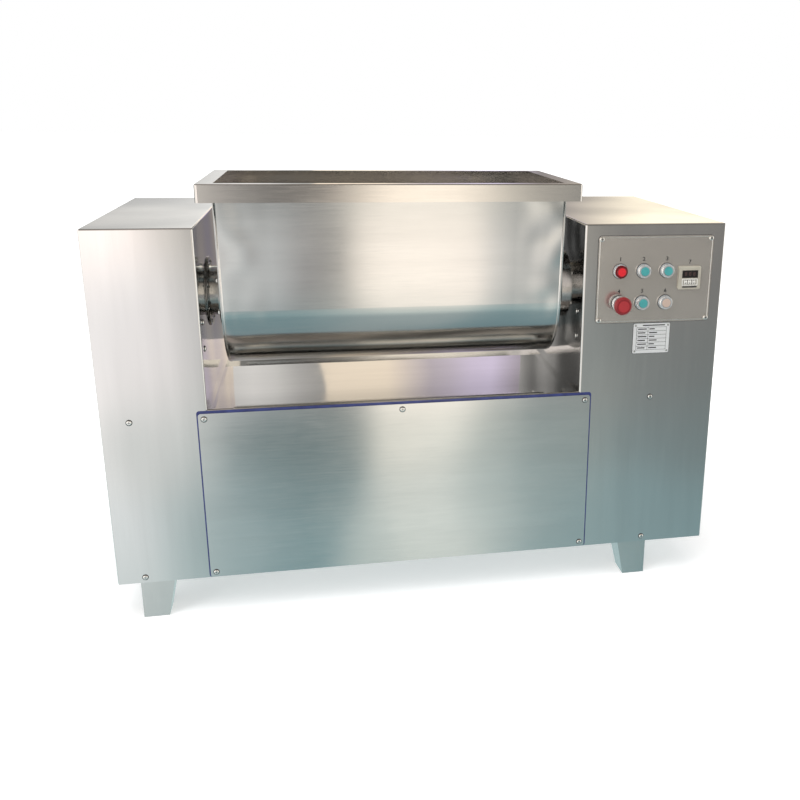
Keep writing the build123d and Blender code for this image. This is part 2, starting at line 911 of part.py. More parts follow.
tilt_x = (tilt_reducer_outer + left_journal_end) / 2
tilt_z = axis_z - tilt_worm_drop
tilt_motor_front = axis_y + tilt_barrel_half_length
tilt_motor_rear = tilt_motor_front + tilt_motor_length
save("tilt_motor", finned_motor(tilt_motor_radius, tilt_x, tilt_z, tilt_motor_front, tilt_motor_rear, 0))
tilt_fan = Pos(0, 2 * tilt_motor_rear + fan_cover_length, 0) * mirror(
    fan_cover(tilt_motor_radius, tilt_x, tilt_z, tilt_motor_rear, tilt_motor_rear + fan_cover_length),
    Plane.XZ,
)
save(
    "motor_fan_covers",
    fan_cover(main_motor_radius, motor_x, motor_z, motor_front - fan_cover_length, motor_front),
    tilt_fan,
)

# Belt drive
groove_offsets = (-belt_spacing / 2, belt_spacing / 2)


def grooved_pulley(radius, x, z, shaft_front):
    """A pulley with two V grooves, on a shaft stub that runs in the housing ahead of it."""
    half_top = belt_top_width / 2 + groove_clearance
    half_bottom = half_top - belt_slope
    root = radius - belt_height - groove_clearance
    points = [(0, 0), (radius, 0)]
    for offset in groove_offsets:
        middle = pulley_width / 2 + offset
        points += [
            (radius, middle - half_top),
            (root, middle - half_bottom),
            (root, middle + half_bottom),
            (radius, middle + half_top),
        ]
    points += [(radius, pulley_width), (0, pulley_width)]
    wheel = revolve(make_face(Polyline(*points, close=True)), Axis.Y)
    return Pos(x, pulley_front, z) * wheel + rod_y(main_input_radius, x, shaft_front, pulley_middle, z)


pulley_middle = (pulley_front + pulley_rear) / 2
worm_shaft_front = barrel_rear - main_barrel_half_length / 2 + seat_gap
rotor_front = motor_rear - main_motor_length * main_input_share + seat_gap
save("reducer_pulley", grooved_pulley(reducer_pulley_radius, input_x, input_z, worm_shaft_front))
save("motor_pulley", grooved_pulley(motor_pulley_radius, motor_x, motor_z, rotor_front))


def belt_loop(y):
    """A V belt: its section swept along two arcs and the two outer tangents of the pulleys."""
    span_x = motor_x - input_x
    span_z = motor_z - input_z
    span = hypot(span_x, span_z)
    along = Vector(span_x / span, 0, span_z / span)
    across = Vector(-along.Z, 0, along.X)
    big = reducer_pulley_radius - belt_height / 2
    small = motor_pulley_radius - belt_height / 2
    lean = (big - small) / span
    level = (1 - lean**2) ** 0.5
    normals = [along * lean + across * level, along * lean - across * level]
    top = Vector(input_x, y, input_z)
    low = Vector(motor_x, y, motor_z)
    route = Wire(
        [
            Line(top + normals[0] * big, low + normals[0] * small).edge(),
            ThreePointArc(low + normals[0] * small, low + along * small, low + normals[1] * small).edge(),
            Line(low + normals[1] * small, top + normals[1] * big).edge(),
            ThreePointArc(top + normals[1] * big, top - along * big, top + normals[0] * big).edge(),
        ]
    )
    half_top = belt_top_width / 2
    half_bottom = half_top - belt_slope
    half_height = belt_height / 2
    section = make_face(
        Polyline(
            (half_height, -half_top),
            (half_height, half_top),
            (-half_height, half_bottom),
            (-half_height, -half_bottom),
            close=True,
        )
    )
    start = Plane(origin=route @ 0, x_dir=normals[0], z_dir=route % 0)
    return sweep(start * section, path=route)


save("drive_belts", *[belt_loop(pulley_middle + offset) for offset in groove_offsets])

# Control plate and what is on it
control_plate = rounded_plate(
    plate_left, plate_right, plate_bottom, plate_top, plate_front, front_y, control_plate_corner
)
control_plate -= control_holes(plate_front - cut_overrun, front_y + cut_overrun)
save("control_plate", control_plate)


def bezel(x, z, height, rim_radius, neck_radius):
    """A threaded shank with a base ring on the plate, a neck and a rim with the recess."""
    bore = stem_radius + stem_clearance
    return turned_front(
        [
            (bore, -shank_length),
            (shank_radius, -shank_length),
            (shank_radius, 0),
            (bezel_base_radius, 0),
            (bezel_base_radius, bezel_base_height),
            (neck_radius, bezel_base_height),
            (neck_radius, height - bezel_rim_depth),
            (rim_radius, height - bezel_rim_depth),
            (rim_radius, height - bezel_chamfer),
            (rim_radius - bezel_chamfer, height),
            (bezel_recess_radius, height),
            (bezel_recess_radius, bezel_floor),
            (bore, bezel_floor),
        ],
        x,
        z,
    )


lamp_place, button_one, button_two, stop_place, button_three, button_four = device_places
button_places = (button_one, button_two, button_three, button_four)
save(
    "button_bezels",
    bezel(*lamp_place, lamp_bezel_height, bezel_radius, bezel_neck_radius),
    bezel(*stop_place, stop_collar_height, stop_collar_radius, bezel_radius),
    *[bezel(*place, bezel_height, bezel_radius, bezel_neck_radius) for place in button_places],
)

cap_radius = bezel_recess_radius - button_clearance
stem_end = -shank_length + stem_end_gap
lamp_flange_top = lamp_bezel_height + lamp_flange_height
lamp_top = lamp_flange_top + lamp_dome_height
lamp = turned_front(
    [
        (0, bezel_floor),
        (cap_radius, bezel_floor),
        (cap_radius, lamp_bezel_height),
        (lamp_flange_radius, lamp_bezel_height),
        (lamp_flange_radius, lamp_flange_top),
        (lamp_dome_radius, lamp_flange_top),
        (lamp_dome_radius, lamp_top),
        (0, lamp_top),
    ],
    *lamp_place,
)
lamp = fillet(lamp.edges().filter_by(GeomType.CIRCLE).sort_by(Axis.Y)[0], lamp_dome_edge)
save("lamp_lens", lamp)


def push_button(x, z):
    cap_back = bezel_floor + button_travel + button_clearance
    cap_front = bezel_height + button_proud
    cap = turned_front(
        [
            (0, stem_end),
            (stem_radius, stem_end),
            (stem_radius, cap_back),
            (cap_radius, cap_back),
            (cap_radius, cap_front),
            (0, cap_front),
        ],
        x,
        z,
    )
    return fillet(cap.edges().filter_by(GeomType.CIRCLE).sort_by(Axis.Y)[0], button_edge)


button_names = ("start_button", "stop_button", "tilt_up_button", "tilt_down_button")
for button_name, place in zip(button_names, button_places):
    save(button_name, push_button(*place))

collar_back = bezel_floor + stop_travel + button_clearance
spigot_top = stop_neck_height + stop_head_height * 0.6
stop_plunger = turned_front(
    [
        (0, stem_end),
        (stem_radius, stem_end),
        (stem_radius, collar_back),
        (cap_radius, collar_back),
        (cap_radius, stop_neck_height),
        (stop_spigot_radius, stop_neck_height),
        (stop_spigot_radius, spigot_top),
        (0, spigot_top),
    ],
    *stop_place,
)
save("emergency_stop_plunger", stop_plunger)

head_back = stop_neck_height + seat_gap
head_front = stop_neck_height + stop_head_height
spigot_bore = stop_spigot_radius + running_fit
stop_head = turned_front(
    [
        (spigot_bore, head_back),
        (stop_head_radius * 0.7, head_back),
        (stop_head_radius, head_back + stop_head_height * 0.35),
        (stop_head_radius, head_front - stop_head_height * 0.3),
        (stop_head_radius * 0.8, head_front),
        (0, head_front),
        (0, spigot_top + seat_gap),
        (spigot_bore, spigot_top + seat_gap),
    ],
    *stop_place,
)
save("emergency_stop_head", stop_head)

block_top = plate_front + shank_length
contact_blocks = [
    block(
        x - contact_block_width / 2,
        x + contact_block_width / 2,
        block_top,
        block_top + contact_block_depth,
        z - contact_block_height / 2,
        z + contact_block_height / 2,
    )
    for x, z in device_places
]
save("contact_blocks", *contact_blocks)

# Timer
timer_face = plate_front - timer_proud
timer_half = timer_size / 2
case = rounded_plate(
    timer_x - timer_half,
    timer_x + timer_half,
    timer_z - timer_half,
    timer_z + timer_half,
    timer_face,
    plate_front,
    timer_corner,
)
case = chamfer(case.faces().sort_by(Axis.Y)[0].edges(), timer_bevel)
body_half = timer_body_size / 2
case += block(
    timer_x - body_half,
    timer_x + body_half,
    plate_front - cut_overrun,
    plate_front + timer_body_depth,
    timer_z - body_half,
    timer_z + body_half,
)
window_half = timer_half - timer_border
window_z = timer_z + timer_window_rise
case -= block(
    timer_x - window_half,
    timer_x + window_half,
    timer_face - cut_overrun,
    timer_face + timer_window_depth,
    window_z - timer_window_height / 2,
    window_z + timer_window_height / 2,
)
wheels_half = wheel_count * wheel_pitch / 2
wheel_z = timer_z - wheel_drop
wheel_y = timer_face + wheel_axis_depth
case -= block(
    timer_x - wheels_half,
    timer_x + wheels_half,
    timer_face - cut_overrun,
    wheel_y,
    wheel_z - wheel_slot_height / 2,
    wheel_z + wheel_slot_height / 2,
)
cavity_half = wheel_radius + seat_gap
case -= block(
    timer_x - wheels_half,
    timer_x + wheels_half,
    timer_face + timer_skin,
    wheel_y + cavity_half,
    wheel_z - cavity_half,
    wheel_z + cavity_half,
)
pin_half = wheels_half + cut_overrun
case += rod_x(wheel_pin_radius, timer_x - pin_half, timer_x + pin_half, wheel_y, wheel_z)
save("timer_case", case)
save(
    "timer_window",
    block(
        timer_x - window_half + seat_gap,
        timer_x + window_half - seat_gap,
        timer_face + timer_window_depth / 4,
        timer_face + timer_window_depth,
        window_z - timer_window_height / 2 + seat_gap,
        window_z + timer_window_height / 2 - seat_gap,
    ),
)
for index in range(wheel_count):
    middle_x = timer_x + (index - (wheel_count - 1) / 2) * wheel_pitch
    wheel_outline = Plane(
        origin=(middle_x - wheel_width / 2, wheel_y, wheel_z), x_dir=(0, 1, 0), z_dir=(1, 0, 0)
    ) * RegularPolygon(wheel_radius, wheel_faces)
    digit_wheel = extrude(wheel_outline, wheel_width)
    digit_wheel -= rod_x(
        wheel_pin_radius + running_fit, middle_x - wheel_width, middle_x + wheel_width, wheel_y, wheel_z
    )
    save(f"timer_wheel_{index + 1}", digit_wheel)

# Rating plate, left bare, and its four rivets
rating_x = (plate_left + plate_right) / 2
rating_top = plate_bottom - rating_plate_gap
rating_bottom = rating_top - rating_plate_height
rating_half = rating_plate_width / 2
rating_front = front_y - rating_plate_thickness
save(
    "rating_plate",
    rounded_plate(
        rating_x - rating_half,
        rating_x + rating_half,
        rating_bottom,
        rating_top,
        rating_front,
        front_y,
        rating_plate_corner,
    ),
)
rivet = Pos(0, 0, rivet_height / 2) * Cylinder(rivet_radius, rivet_height)
rivets = []
for x in (rating_x - rating_half + rivet_inset, rating_x + rating_half - rivet_inset):
    for z in (rating_bottom + rivet_inset, rating_top - rivet_inset):
        rivets.append(facing((x, rating_front, z), (0, -1, 0), rivet))
save("rating_plate_rivets", *rivets)

# Screws
panel_screw_points = [
    (x, panel_front, z)
    for x in (panel_left + panel_screw_side_inset, panel_right - panel_screw_side_inset)
    for z in (panel_bottom + panel_screw_end_inset, panel_top - panel_screw_end_inset)
]
panel_screw_points.append(((panel_left + panel_right) / 2, panel_front, panel_top - panel_screw_end_inset))
save("front_panel_screws", *screws_on(panel_screw_points, (0, -1, 0)))

control_screw_points = [
    (x, plate_front, z)
    for x in (plate_left + control_screw_inset, plate_right - control_screw_inset)
    for z in (plate_bottom + control_screw_inset, plate_top - control_screw_inset)
]
save("control_plate_screws", *screws_on(control_screw_points, (0, -1, 0)))

cabinet_screw_columns = (-half_length + cabinet_screw_from_side, half_length - right_cabinet_screw_from_side)
cabinet_screw_points = [
    (x, front_y, z) for x in cabinet_screw_columns for z in (cabinet_screw_bottom, cabinet_screw_top)
]
rear_screw_points = [
    (x, rear_y, z)
    for x in (bay_left + cover_screw_inset, bay_right - cover_screw_inset)
    for z in (base_top + cover_screw_inset, deck_bottom - cover_screw_inset)
]
cover_heights = (
    foot_height + cover_screw_inset,
    (foot_height + cabinet_top) / 2,
    cabinet_top - cover_screw_inset,
)
cover_screws = screws_on(cabinet_screw_points, (0, -1, 0)) + screws_on(rear_screw_points, (0, 1, 0))
for side in (-1, 1):
    side_points = [
        (side * half_length, y, z)
        for y in (front_y + cover_screw_inset, rear_y - cover_screw_inset)
        for z in cover_heights
    ]
    cover_screws += screws_on(side_points, (side, 0, 0))
bay_screw_y = front_y + bay_screw_from_front
left_bay_points = [(bay_left, bay_screw_y, z) for z in bay_screw_heights]
right_bay_points = [(bay_right, bay_screw_y, z) for z in bay_screw_heights]
cover_screws += screws_on(left_bay_points, (1, 0, 0)) + screws_on(right_bay_points, (-1, 0, 0))
save("cover_screws", *cover_screws)

# Electrical plate, contactors and cable gland
electrical_middle = (right_wall_inside + right_open) / 2
electrical_top = cabinet_top - electrical_plate_top_gap
electrical_bottom = electrical_top - electrical_plate_height
electrical_rear = rear_y - cabinet_sheet - electrical_standoff
electrical_front = electrical_rear - electrical_plate_thickness
electrical_half = electrical_plate_width / 2
electrical_plate = block(
    electrical_middle - electrical_half,
    electrical_middle + electrical_half,
    electrical_front,
    electrical_rear,
    electrical_bottom,
    electrical_top,
)
standoff_half = electrical_half - cover_screw_inset
for x in (electrical_middle - standoff_half, electrical_middle + standoff_half):
    for z in (electrical_bottom + cover_screw_inset, electrical_top - cover_screw_inset):
        electrical_plate += rod_y(
            electrical_standoff_radius, x, electrical_front, rear_y - cabinet_sheet, z
        )
save("electrical_plate", electrical_plate)

contactor_step = contactor_width + contactor_gap
contactors = []
for index in range(contactor_count):
    middle_x = electrical_middle + (index - (contactor_count - 1) / 2) * contactor_step
    contactor = block(
        middle_x - contactor_width / 2,
        middle_x + contactor_width / 2,
        electrical_front - contactor_depth,
        electrical_front,
        electrical_top - 2 * contactor_height,
        electrical_top - contactor_height,
    )
    nose = contactor.faces().sort_by(Axis.Y)[0].edges().filter_by(Axis.X)
    contactors.append(chamfer(nose, contactor_nose))
save("contactors", *contactors)

gland_thread_end = rear_y - gland_thread_length
gland_end = rear_y + gland_length
gland_hexagon = extrude(RegularPolygon(gland_radius, 6), gland_length / 2)
gland = rod_y(gland_thread_radius, gland_x, gland_thread_end, rear_y, gland_z)
gland += Pos(gland_x, rear_y, gland_z) * Rot(-90, 0, 0) * gland_hexagon
gland += rod_y(gland_cap_radius, gland_x, rear_y, gland_end, gland_z)
gland -= rod_y(gland_bore_radius, gland_x, gland_thread_end - cut_overrun, gland_end + cut_overrun, gland_z)
save("cable_gland", gland)
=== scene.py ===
import math

import bmesh
import bpy
import numpy as np
from mathutils import Matrix, Vector


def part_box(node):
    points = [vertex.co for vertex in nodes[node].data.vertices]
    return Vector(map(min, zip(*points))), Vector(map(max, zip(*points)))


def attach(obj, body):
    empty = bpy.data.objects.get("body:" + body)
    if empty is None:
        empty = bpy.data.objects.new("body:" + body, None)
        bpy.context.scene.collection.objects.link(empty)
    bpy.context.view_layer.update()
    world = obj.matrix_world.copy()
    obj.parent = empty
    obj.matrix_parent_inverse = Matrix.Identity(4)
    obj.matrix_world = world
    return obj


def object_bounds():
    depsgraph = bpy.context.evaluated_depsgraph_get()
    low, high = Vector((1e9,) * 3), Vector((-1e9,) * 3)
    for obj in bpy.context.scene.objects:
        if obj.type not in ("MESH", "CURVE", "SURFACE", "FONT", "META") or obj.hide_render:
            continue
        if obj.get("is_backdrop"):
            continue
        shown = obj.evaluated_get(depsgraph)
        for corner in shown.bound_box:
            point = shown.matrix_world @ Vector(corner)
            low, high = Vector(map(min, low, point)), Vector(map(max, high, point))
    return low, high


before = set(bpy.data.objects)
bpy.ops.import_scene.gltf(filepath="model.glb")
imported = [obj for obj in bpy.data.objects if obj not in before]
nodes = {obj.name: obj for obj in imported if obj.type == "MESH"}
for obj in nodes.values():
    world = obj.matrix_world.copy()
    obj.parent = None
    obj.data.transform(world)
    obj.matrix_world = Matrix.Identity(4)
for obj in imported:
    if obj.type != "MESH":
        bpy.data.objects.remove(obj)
cad_low, cad_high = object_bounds()


# Camera. It stands a little left of the machine and looks down on it, as in the photograph.
camera_place = (-0.2227, -2.1820, 1.1045)
camera_yaw, camera_pitch, camera_roll = 0.2119, -0.2840, 0.0175
camera_focal_pixels = 899.9
camera_centre = (507.5, 367.8)
image_pixels = 800
sensor_width = 36.0

forward = np.array([
    math.sin(camera_yaw) * math.cos(camera_pitch),
    math.cos(camera_yaw) * math.cos(camera_pitch),
    math.sin(camera_pitch),
])
level_right = np.array([math.cos(camera_yaw), -math.sin(camera_yaw), 0.0])
level_up = np.cross(level_right, forward)
right = math.cos(camera_roll) * level_right + math.sin(camera_roll) * level_up
up = math.cos(camera_roll) * level_up - math.sin(camera_roll) * level_right

camera = bpy.data.objects.new("camera", bpy.data.cameras.new("camera"))
bpy.context.scene.collection.objects.link(camera)
camera_turn = Matrix([[right[i], up[i], -forward[i]] for i in range(3)])
camera.matrix_world = Matrix.Translation(camera_place) @ camera_turn.to_4x4()
camera.data.sensor_width = sensor_width
camera.data.lens = camera_focal_pixels / image_pixels * sensor_width
camera.data.shift_x = (image_pixels / 2 - camera_centre[0]) / image_pixels
camera.data.shift_y = (camera_centre[1] - image_pixels / 2) / image_pixels
bpy.context.scene.camera = camera
bpy.context.scene.view_settings.view_transform = "Standard"


# Studio. A pale floor carries the shadow, and four large soft lamps light the machine. The sky is
# plain white to the eye; polished steel sees tall light and dark boards in it, as in a photo studio.
def new_material(name):
    """An empty node material: returns it with its node tree."""
    made = bpy.data.materials.new(name)
    made.use_nodes = True
    made.node_tree.nodes.clear()
    return made, made.node_tree


def add_node(tree, kind, inputs=None, **settings):
    """Adds a shader node. settings are its own properties, and inputs gives for each socket the
    output that is linked to it, or its plain value."""
    added = tree.nodes.new(f"ShaderNode{kind}")
    for setting, value in settings.items():
        setattr(added, setting, value)
    for socket, value in (inputs or {}).items():
        if isinstance(value, bpy.types.NodeSocket):
            tree.links.new(value, added.inputs[socket])
        else:
            added.inputs[socket].default_value = value
    return added


def here(tree):
    """The point of the surface that is shaded, in the machine's own frame."""
    return add_node(tree, "TexCoord").outputs["Object"]


def maths(tree, operation, first, second=0.0):
    """One step of arithmetic on two values, each an output or a number."""
    return add_node(tree, "Math", {0: first, 1: second}, operation=operation).outputs[0]


def length(tree, point):
    """The distance of a point from the origin."""
    return add_node(tree, "VectorMath", {0: point}, operation="LENGTH").outputs["Value"]


def fitted(tree, value, low, high, to_low=0.0, to_high=1.0, easing="LINEAR"):
    """A value carried from the range low to high onto the range to_low to to_high, and held in it."""
    return add_node(tree, "MapRange", {"Value": value, "From Min": low, "From Max": high,
                                       "To Min": to_low, "To Max": to_high},
                    interpolation_type=easing).outputs["Result"]


def add_object(name, vertices, faces, smooth=True):
    """A mesh object from an array of points in metres and a list of faces."""
    mesh = bpy.data.meshes.new(name)
    mesh.from_pydata(np.asarray(vertices).tolist(), [], faces)
    mesh.update()
    mesh.polygons.foreach_set("use_smooth", [smooth] * len(mesh.polygons))
    made = bpy.data.objects.new(name, mesh)
    bpy.context.scene.collection.objects.link(made)
    return made


floor_reach, floor_level, floor_grey = 30.0, -0.0005, 0.93
floor = add_object(
    "floor",
    [(-floor_reach, -floor_reach, floor_level), (floor_reach, -floor_reach, floor_level),
     (floor_reach, floor_reach, floor_level), (-floor_reach, floor_reach, floor_level)],
    [(0, 1, 2, 3)], smooth=False)

# The paper is lit up for the camera alone, most of all away from the machine's shadow.
shadow_reach, clear_reach, glow_in_shadow = 0.7, 1.7, 0.35
made, tree = new_material("floor_paper")
paper = add_node(tree, "BsdfDiffuse", {"Color": (floor_grey, floor_grey, floor_grey, 1)})
away = fitted(tree, length(tree, here(tree)), shadow_reach, clear_reach, glow_in_shadow,
              easing="SMOOTHSTEP")
seen = maths(tree, "MULTIPLY", add_node(tree, "LightPath").outputs["Is Camera Ray"], away)
glow = add_node(tree, "Emission", {"Strength": seen})
both = add_node(tree, "AddShader", {0: paper.outputs[0], 1: glow.outputs[0]})
add_node(tree, "OutputMaterial", {"Surface": both.outputs[0]})
floor.data.materials.append(made)
floor.visible_glossy = False
floor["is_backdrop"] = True

# Lamps: (place, the point it faces, side in metres, power in watts)
lamps = {
    "lamp_over": ((-0.5, -0.9, 3.4), (0.0, 0.0, 0.5), 2.6, 62.0),
    "lamp_left": ((-3.0, -2.0, 1.9), (-0.2, 0.0, 0.5), 1.8, 38.0),
    "lamp_right": ((3.1, -1.3, 1.8), (0.2, 0.0, 0.5), 1.8, 20.0),
    "lamp_back": ((0.6, 3.1, 2.2), (0.0, 0.0, 0.6), 1.8, 24.0),
}
for name, (place, target, size, power) in lamps.items():
    light = bpy.data.lights.new(name, "AREA")
    light.shape = "SQUARE"
    light.size = size
    light.energy = power
    lamp = bpy.data.objects.new(name, light)
    lamp.location = place
    lamp.rotation_euler = (Vector(target) - Vector(place)).to_track_quat("-Z", "Y").to_euler()
    lamp.visible_glossy = False
    bpy.context.scene.collection.objects.link(lamp)


def axes(tree, point):
    """The X, Y and Z of a point."""
    return add_node(tree, "SeparateXYZ", {0: point}).outputs


def ramp(tree, stops, value, easing="EASE"):
    """A colour ramp from a list of (place from 0 to 1, colour)."""
    made = add_node(tree, "ValToRGB", {0: value})
    made.color_ramp.interpolation = easing
    for k, (spot, colour) in enumerate(stops):
        stop = made.color_ramp.elements[k] if k < 2 else made.color_ramp.elements.new(spot)
        stop.position = spot
        stop.color = (*colour, 1)
    return made.outputs["Color"]


def blend_colours(tree, kind, first, second, factor=1.0):
    """Two colours mixed, added or multiplied, each an output or a plain colour."""
    return add_node(tree, "Mix", {"Factor": factor, "A": first, "B": second},
                    data_type="RGBA", blend_type=kind).outputs["Result"]


def mix_shaders(tree, factor, first, second):
    """The first shader where the factor is 0, and the second where it is 1."""
    return add_node(tree, "MixShader", {0: factor, 1: first, 2: second}).outputs[0]


# Boards round the studio: (degrees to the right of the front, colour)
boards = [
    (-180, (0.34, 0.34, 0.335)), (-176, (0.72, 0.72, 0.72)), (-172, (0.50, 0.50, 0.50)),
    (-167, (0.42, 0.42, 0.42)), (-163, (0.07, 0.07, 0.07)), (-140, (0.28, 0.28, 0.28)),
    (-118, (0.80, 0.80, 0.79)), (-78, (1.00, 0.98, 0.96)), (-52, (0.72, 0.71, 0.70)),
    (-38, (0.62, 0.61, 0.61)), (-26, (1.00, 0.94, 0.94)), (-14, (0.95, 0.89, 0.89)),
    (-8, (0.52, 0.51, 0.50)), (-5, (0.20, 0.20, 0.20)), (-1, (0.11, 0.11, 0.11)),
    (1.5, (0.22, 0.21, 0.20)), (4, (0.90, 0.83, 0.74)), (9, (0.90, 0.84, 0.76)),
    (12, (0.44, 0.43, 0.40)), (15, (0.24, 0.24, 0.23)), (20, (0.17, 0.17, 0.17)),
    (32, (0.14, 0.14, 0.14)), (44, (0.60, 0.59, 0.57)), (64, (1.00, 0.97, 0.93)),
    (88, (0.78, 0.78, 0.77)), (112, (1.00, 0.98, 0.95)), (138, (0.34, 0.34, 0.33)),
    (158, (0.86, 0.78, 0.64)), (166, (0.24, 0.22, 0.22)), (169, (0.64, 0.58, 0.76)),
    (173, (0.48, 0.44, 0.49)), (176, (0.86, 0.76, 0.63)),
]

# How the boards fade with the sine of the angle above the horizon, in front and behind, and the
# cool shine of the floor that is added low down.
front_heights = [
    (-1.0, (0.13, 0.10, 0.09)), (-0.60, (0.15, 0.12, 0.11)), (-0.50, (0.36, 0.33, 0.31)),
    (-0.42, (0.46, 0.44, 0.43)), (-0.34, (0.58, 0.57, 0.55)), (-0.28, (0.74, 0.74, 0.72)),
    (-0.20, (0.86, 0.85, 0.82)), (-0.12, (0.92, 0.88, 0.83)), (0.05, (0.95, 0.91, 0.85)),
    (0.35, (0.80, 0.78, 0.74)), (0.58, (0.50, 0.48, 0.45)), (0.78, (0.30, 0.28, 0.26)),
    (0.94, (0.30, 0.27, 0.24)), (1.0, (0.32, 0.29, 0.26)),
]
back_heights = [
    (-1.0, (0.50, 0.53, 0.54)), (-0.45, (0.30, 0.30, 0.29)), (-0.20, (0.22, 0.22, 0.22)),
    (-0.02, (0.22, 0.22, 0.22)), (0.06, (0.62, 0.62, 0.61)), (0.14, (0.96, 0.94, 0.90)),
    (0.24, (0.74, 0.71, 0.68)), (0.35, (0.46, 0.45, 0.44)), (0.75, (0.34, 0.32, 0.30)),
    (1.0, (0.32, 0.29, 0.26)),
]
floor_shine = [
    (-1.0, (0.09, 0.15, 0.165)), (-0.62, (0.10, 0.17, 0.185)), (-0.50, (0.10, 0.185, 0.20)),
    (-0.42, (0.075, 0.14, 0.15)), (-0.34, (0.04, 0.075, 0.08)), (-0.27, (0.012, 0.022, 0.022)),
    (-0.20, (0.0, 0.0, 0.0)), (1.0, (0.0, 0.0, 0.0)),
]
side_blur, mirror_strength, fill_strength = 0.2, 1.85, 0.42
white = (1, 1, 1, 1)

world = bpy.data.worlds.new("studio")
bpy.context.scene.world = world
world.use_nodes = True
world.cycles.sampling_method = "NONE"
tree = world.node_tree
tree.nodes.clear()
aim = axes(tree, add_node(tree, "TexCoord").outputs["Generated"])
bearing = maths(tree, "ARCTAN2", aim["X"], maths(tree, "MULTIPLY", aim["Y"], -1.0))
ring = ramp(tree, [((angle + 180) / 360, colour) for angle, colour in boards],
            fitted(tree, bearing, -math.pi, math.pi))
level = fitted(tree, aim["Z"], -1.0, 1.0)
front_rise, back_rise, shine = [
    ramp(tree, [((sine + 1) / 2, colour) for sine, colour in heights], level)
    for heights in (front_heights, back_heights, floor_shine)]
rise = blend_colours(tree, "MIX", front_rise, back_rise, fitted(tree, aim["Y"], -side_blur, side_blur))
in_steel = blend_colours(tree, "ADD", blend_colours(tree, "MULTIPLY", ring, rise), shine)
mirrored = add_node(tree, "Background", {"Color": in_steel, "Strength": mirror_strength})
plain = add_node(tree, "Background", {"Color": white, "Strength": fill_strength})
backdrop = add_node(tree, "Background", {"Color": white})
rays = add_node(tree, "LightPath").outputs
for_object = mix_shaders(tree, rays["Is Glossy Ray"], plain.outputs[0], mirrored.outputs[0])
for_camera = maths(tree, "MAXIMUM", rays["Is Camera Ray"], rays["Is Transmission Ray"])
add_node(tree, "OutputWorld",
         {"Surface": mix_shaders(tree, for_camera, for_object, backdrop.outputs[0])})

# A low board stands in front, where only the trough's upper side mirrors it: warm and bright in
# the middle, grey towards the ends, with soft edges above, below and on the right.
board_y, board_left, board_right = -1.45, -1.3, 0.8
board_bottom, board_top, board_edge = -0.02, 0.72, 0.32
board_strength = 1.5

# Colours along the board: (metres to the right of the machine's middle, colour)
board_colours = [
    (-1.30, (0.86, 0.82, 0.80)), (-0.95, (0.78, 0.75, 0.74)), (-0.78, (0.72, 0.69, 0.68)),
    (-0.62, (0.48, 0.47, 0.46)), (-0.50, (0.58, 0.58, 0.57)), (-0.38, (0.44, 0.45, 0.45)),
    (-0.24, (0.26, 0.25, 0.245)), (-0.13, (0.30, 0.29, 0.27)), (-0.02, (0.96, 0.87, 0.77)),
    (0.08, (1.0, 0.91, 0.81)), (0.28, (0.96, 0.87, 0.78)), (0.44, (0.60, 0.58, 0.55)),
    (0.56, (0.37, 0.37, 0.36)), (0.80, (0.26, 0.27, 0.27)),
]
low_board = add_object(
    "low_board",
    [(board_left, board_y, board_bottom), (board_right, board_y, board_bottom),
     (board_right, board_y, board_top), (board_left, board_y, board_top)],
    [(0, 1, 2, 3)], smooth=False)
made, tree = new_material("low_board")
spot = axes(tree, here(tree))
board_span = board_right - board_left
board_colour = ramp(tree, [((x - board_left) / board_span, colour) for x, colour in board_colours],
                    fitted(tree, spot["X"], board_left, board_right))
solid = 1.0
for axis, outer, inner in (("Z", board_bottom, board_bottom + board_edge),
                           ("Z", board_top, board_top - board_edge),
                           ("X", board_right, board_right - board_edge)):
    edge = fitted(tree, spot[axis], outer, inner, easing="SMOOTHSTEP")
    solid = maths(tree, "MULTIPLY", solid, edge)
lit = add_node(tree, "Emission", {"Color": board_colour, "Strength": board_strength})
through = add_node(tree, "BsdfTransparent")
add_node(tree, "OutputMaterial",
         {"Surface": mix_shaders(tree, solid, through.outputs[0], lit.outputs[0])})
made.cycles.emission_sampling = "NONE"
low_board.data.materials.append(made)
low_board.visible_camera = False
low_board.visible_diffuse = False
low_board.visible_shadow = False
low_board.visible_transmission = False
low_board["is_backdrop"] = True


# Cabinets. Two tall boxes of 3 mm stainless sheet, folded at the corners, with flush covers screwed
# on at the sides. The sheet is fine brushed and stands on a base plate of the same steel.
def noise(tree, point, scale, detail=2.0, roughness=0.5):
    """Cloudy noise from 0 to 1: scale is its fineness per metre, detail how many finer layers are
    added, and roughness how strong they are."""
    return add_node(tree, "TexNoise", {"Vector": point, "Scale": scale, "Detail": detail,
                                       "Roughness": roughness}).outputs["Fac"]


def spread(tree, value, low, high):
    """Noise carried onto the range low to high: most of it lies between noise_low and noise_high."""
    noise_low, noise_high = 0.3, 0.7
    return fitted(tree, value, noise_low, noise_high, low, high)


def drifting(tree, colour, low, high, factor):
    """A colour whose brightness drifts from low to high times its own."""
    dark, light = ((*[min(c * share, 1) for c in colour], 1) for share in (low, high))
    return blend_colours(tree, "MIX", dark, light, factor)


def bumped(tree, height, strength, depth, under=None):
    """A bump that tilts the surface's normal by a height from 0 to 1, depth metres high. under is
    another bump that it lies on."""
    inputs = {"Height": height, "Strength": strength, "Distance": depth}
    if under:
        inputs["Normal"] = under.outputs["Normal"]
    return add_node(tree, "Bump", inputs)


def finish_surface(tree, inputs):
    """Ends a material with the one shader that its colour, roughness and normal feed."""
    surface = add_node(tree, "BsdfPrincipled", inputs)
    add_node(tree, "OutputMaterial", {"Surface": surface.outputs[0]})


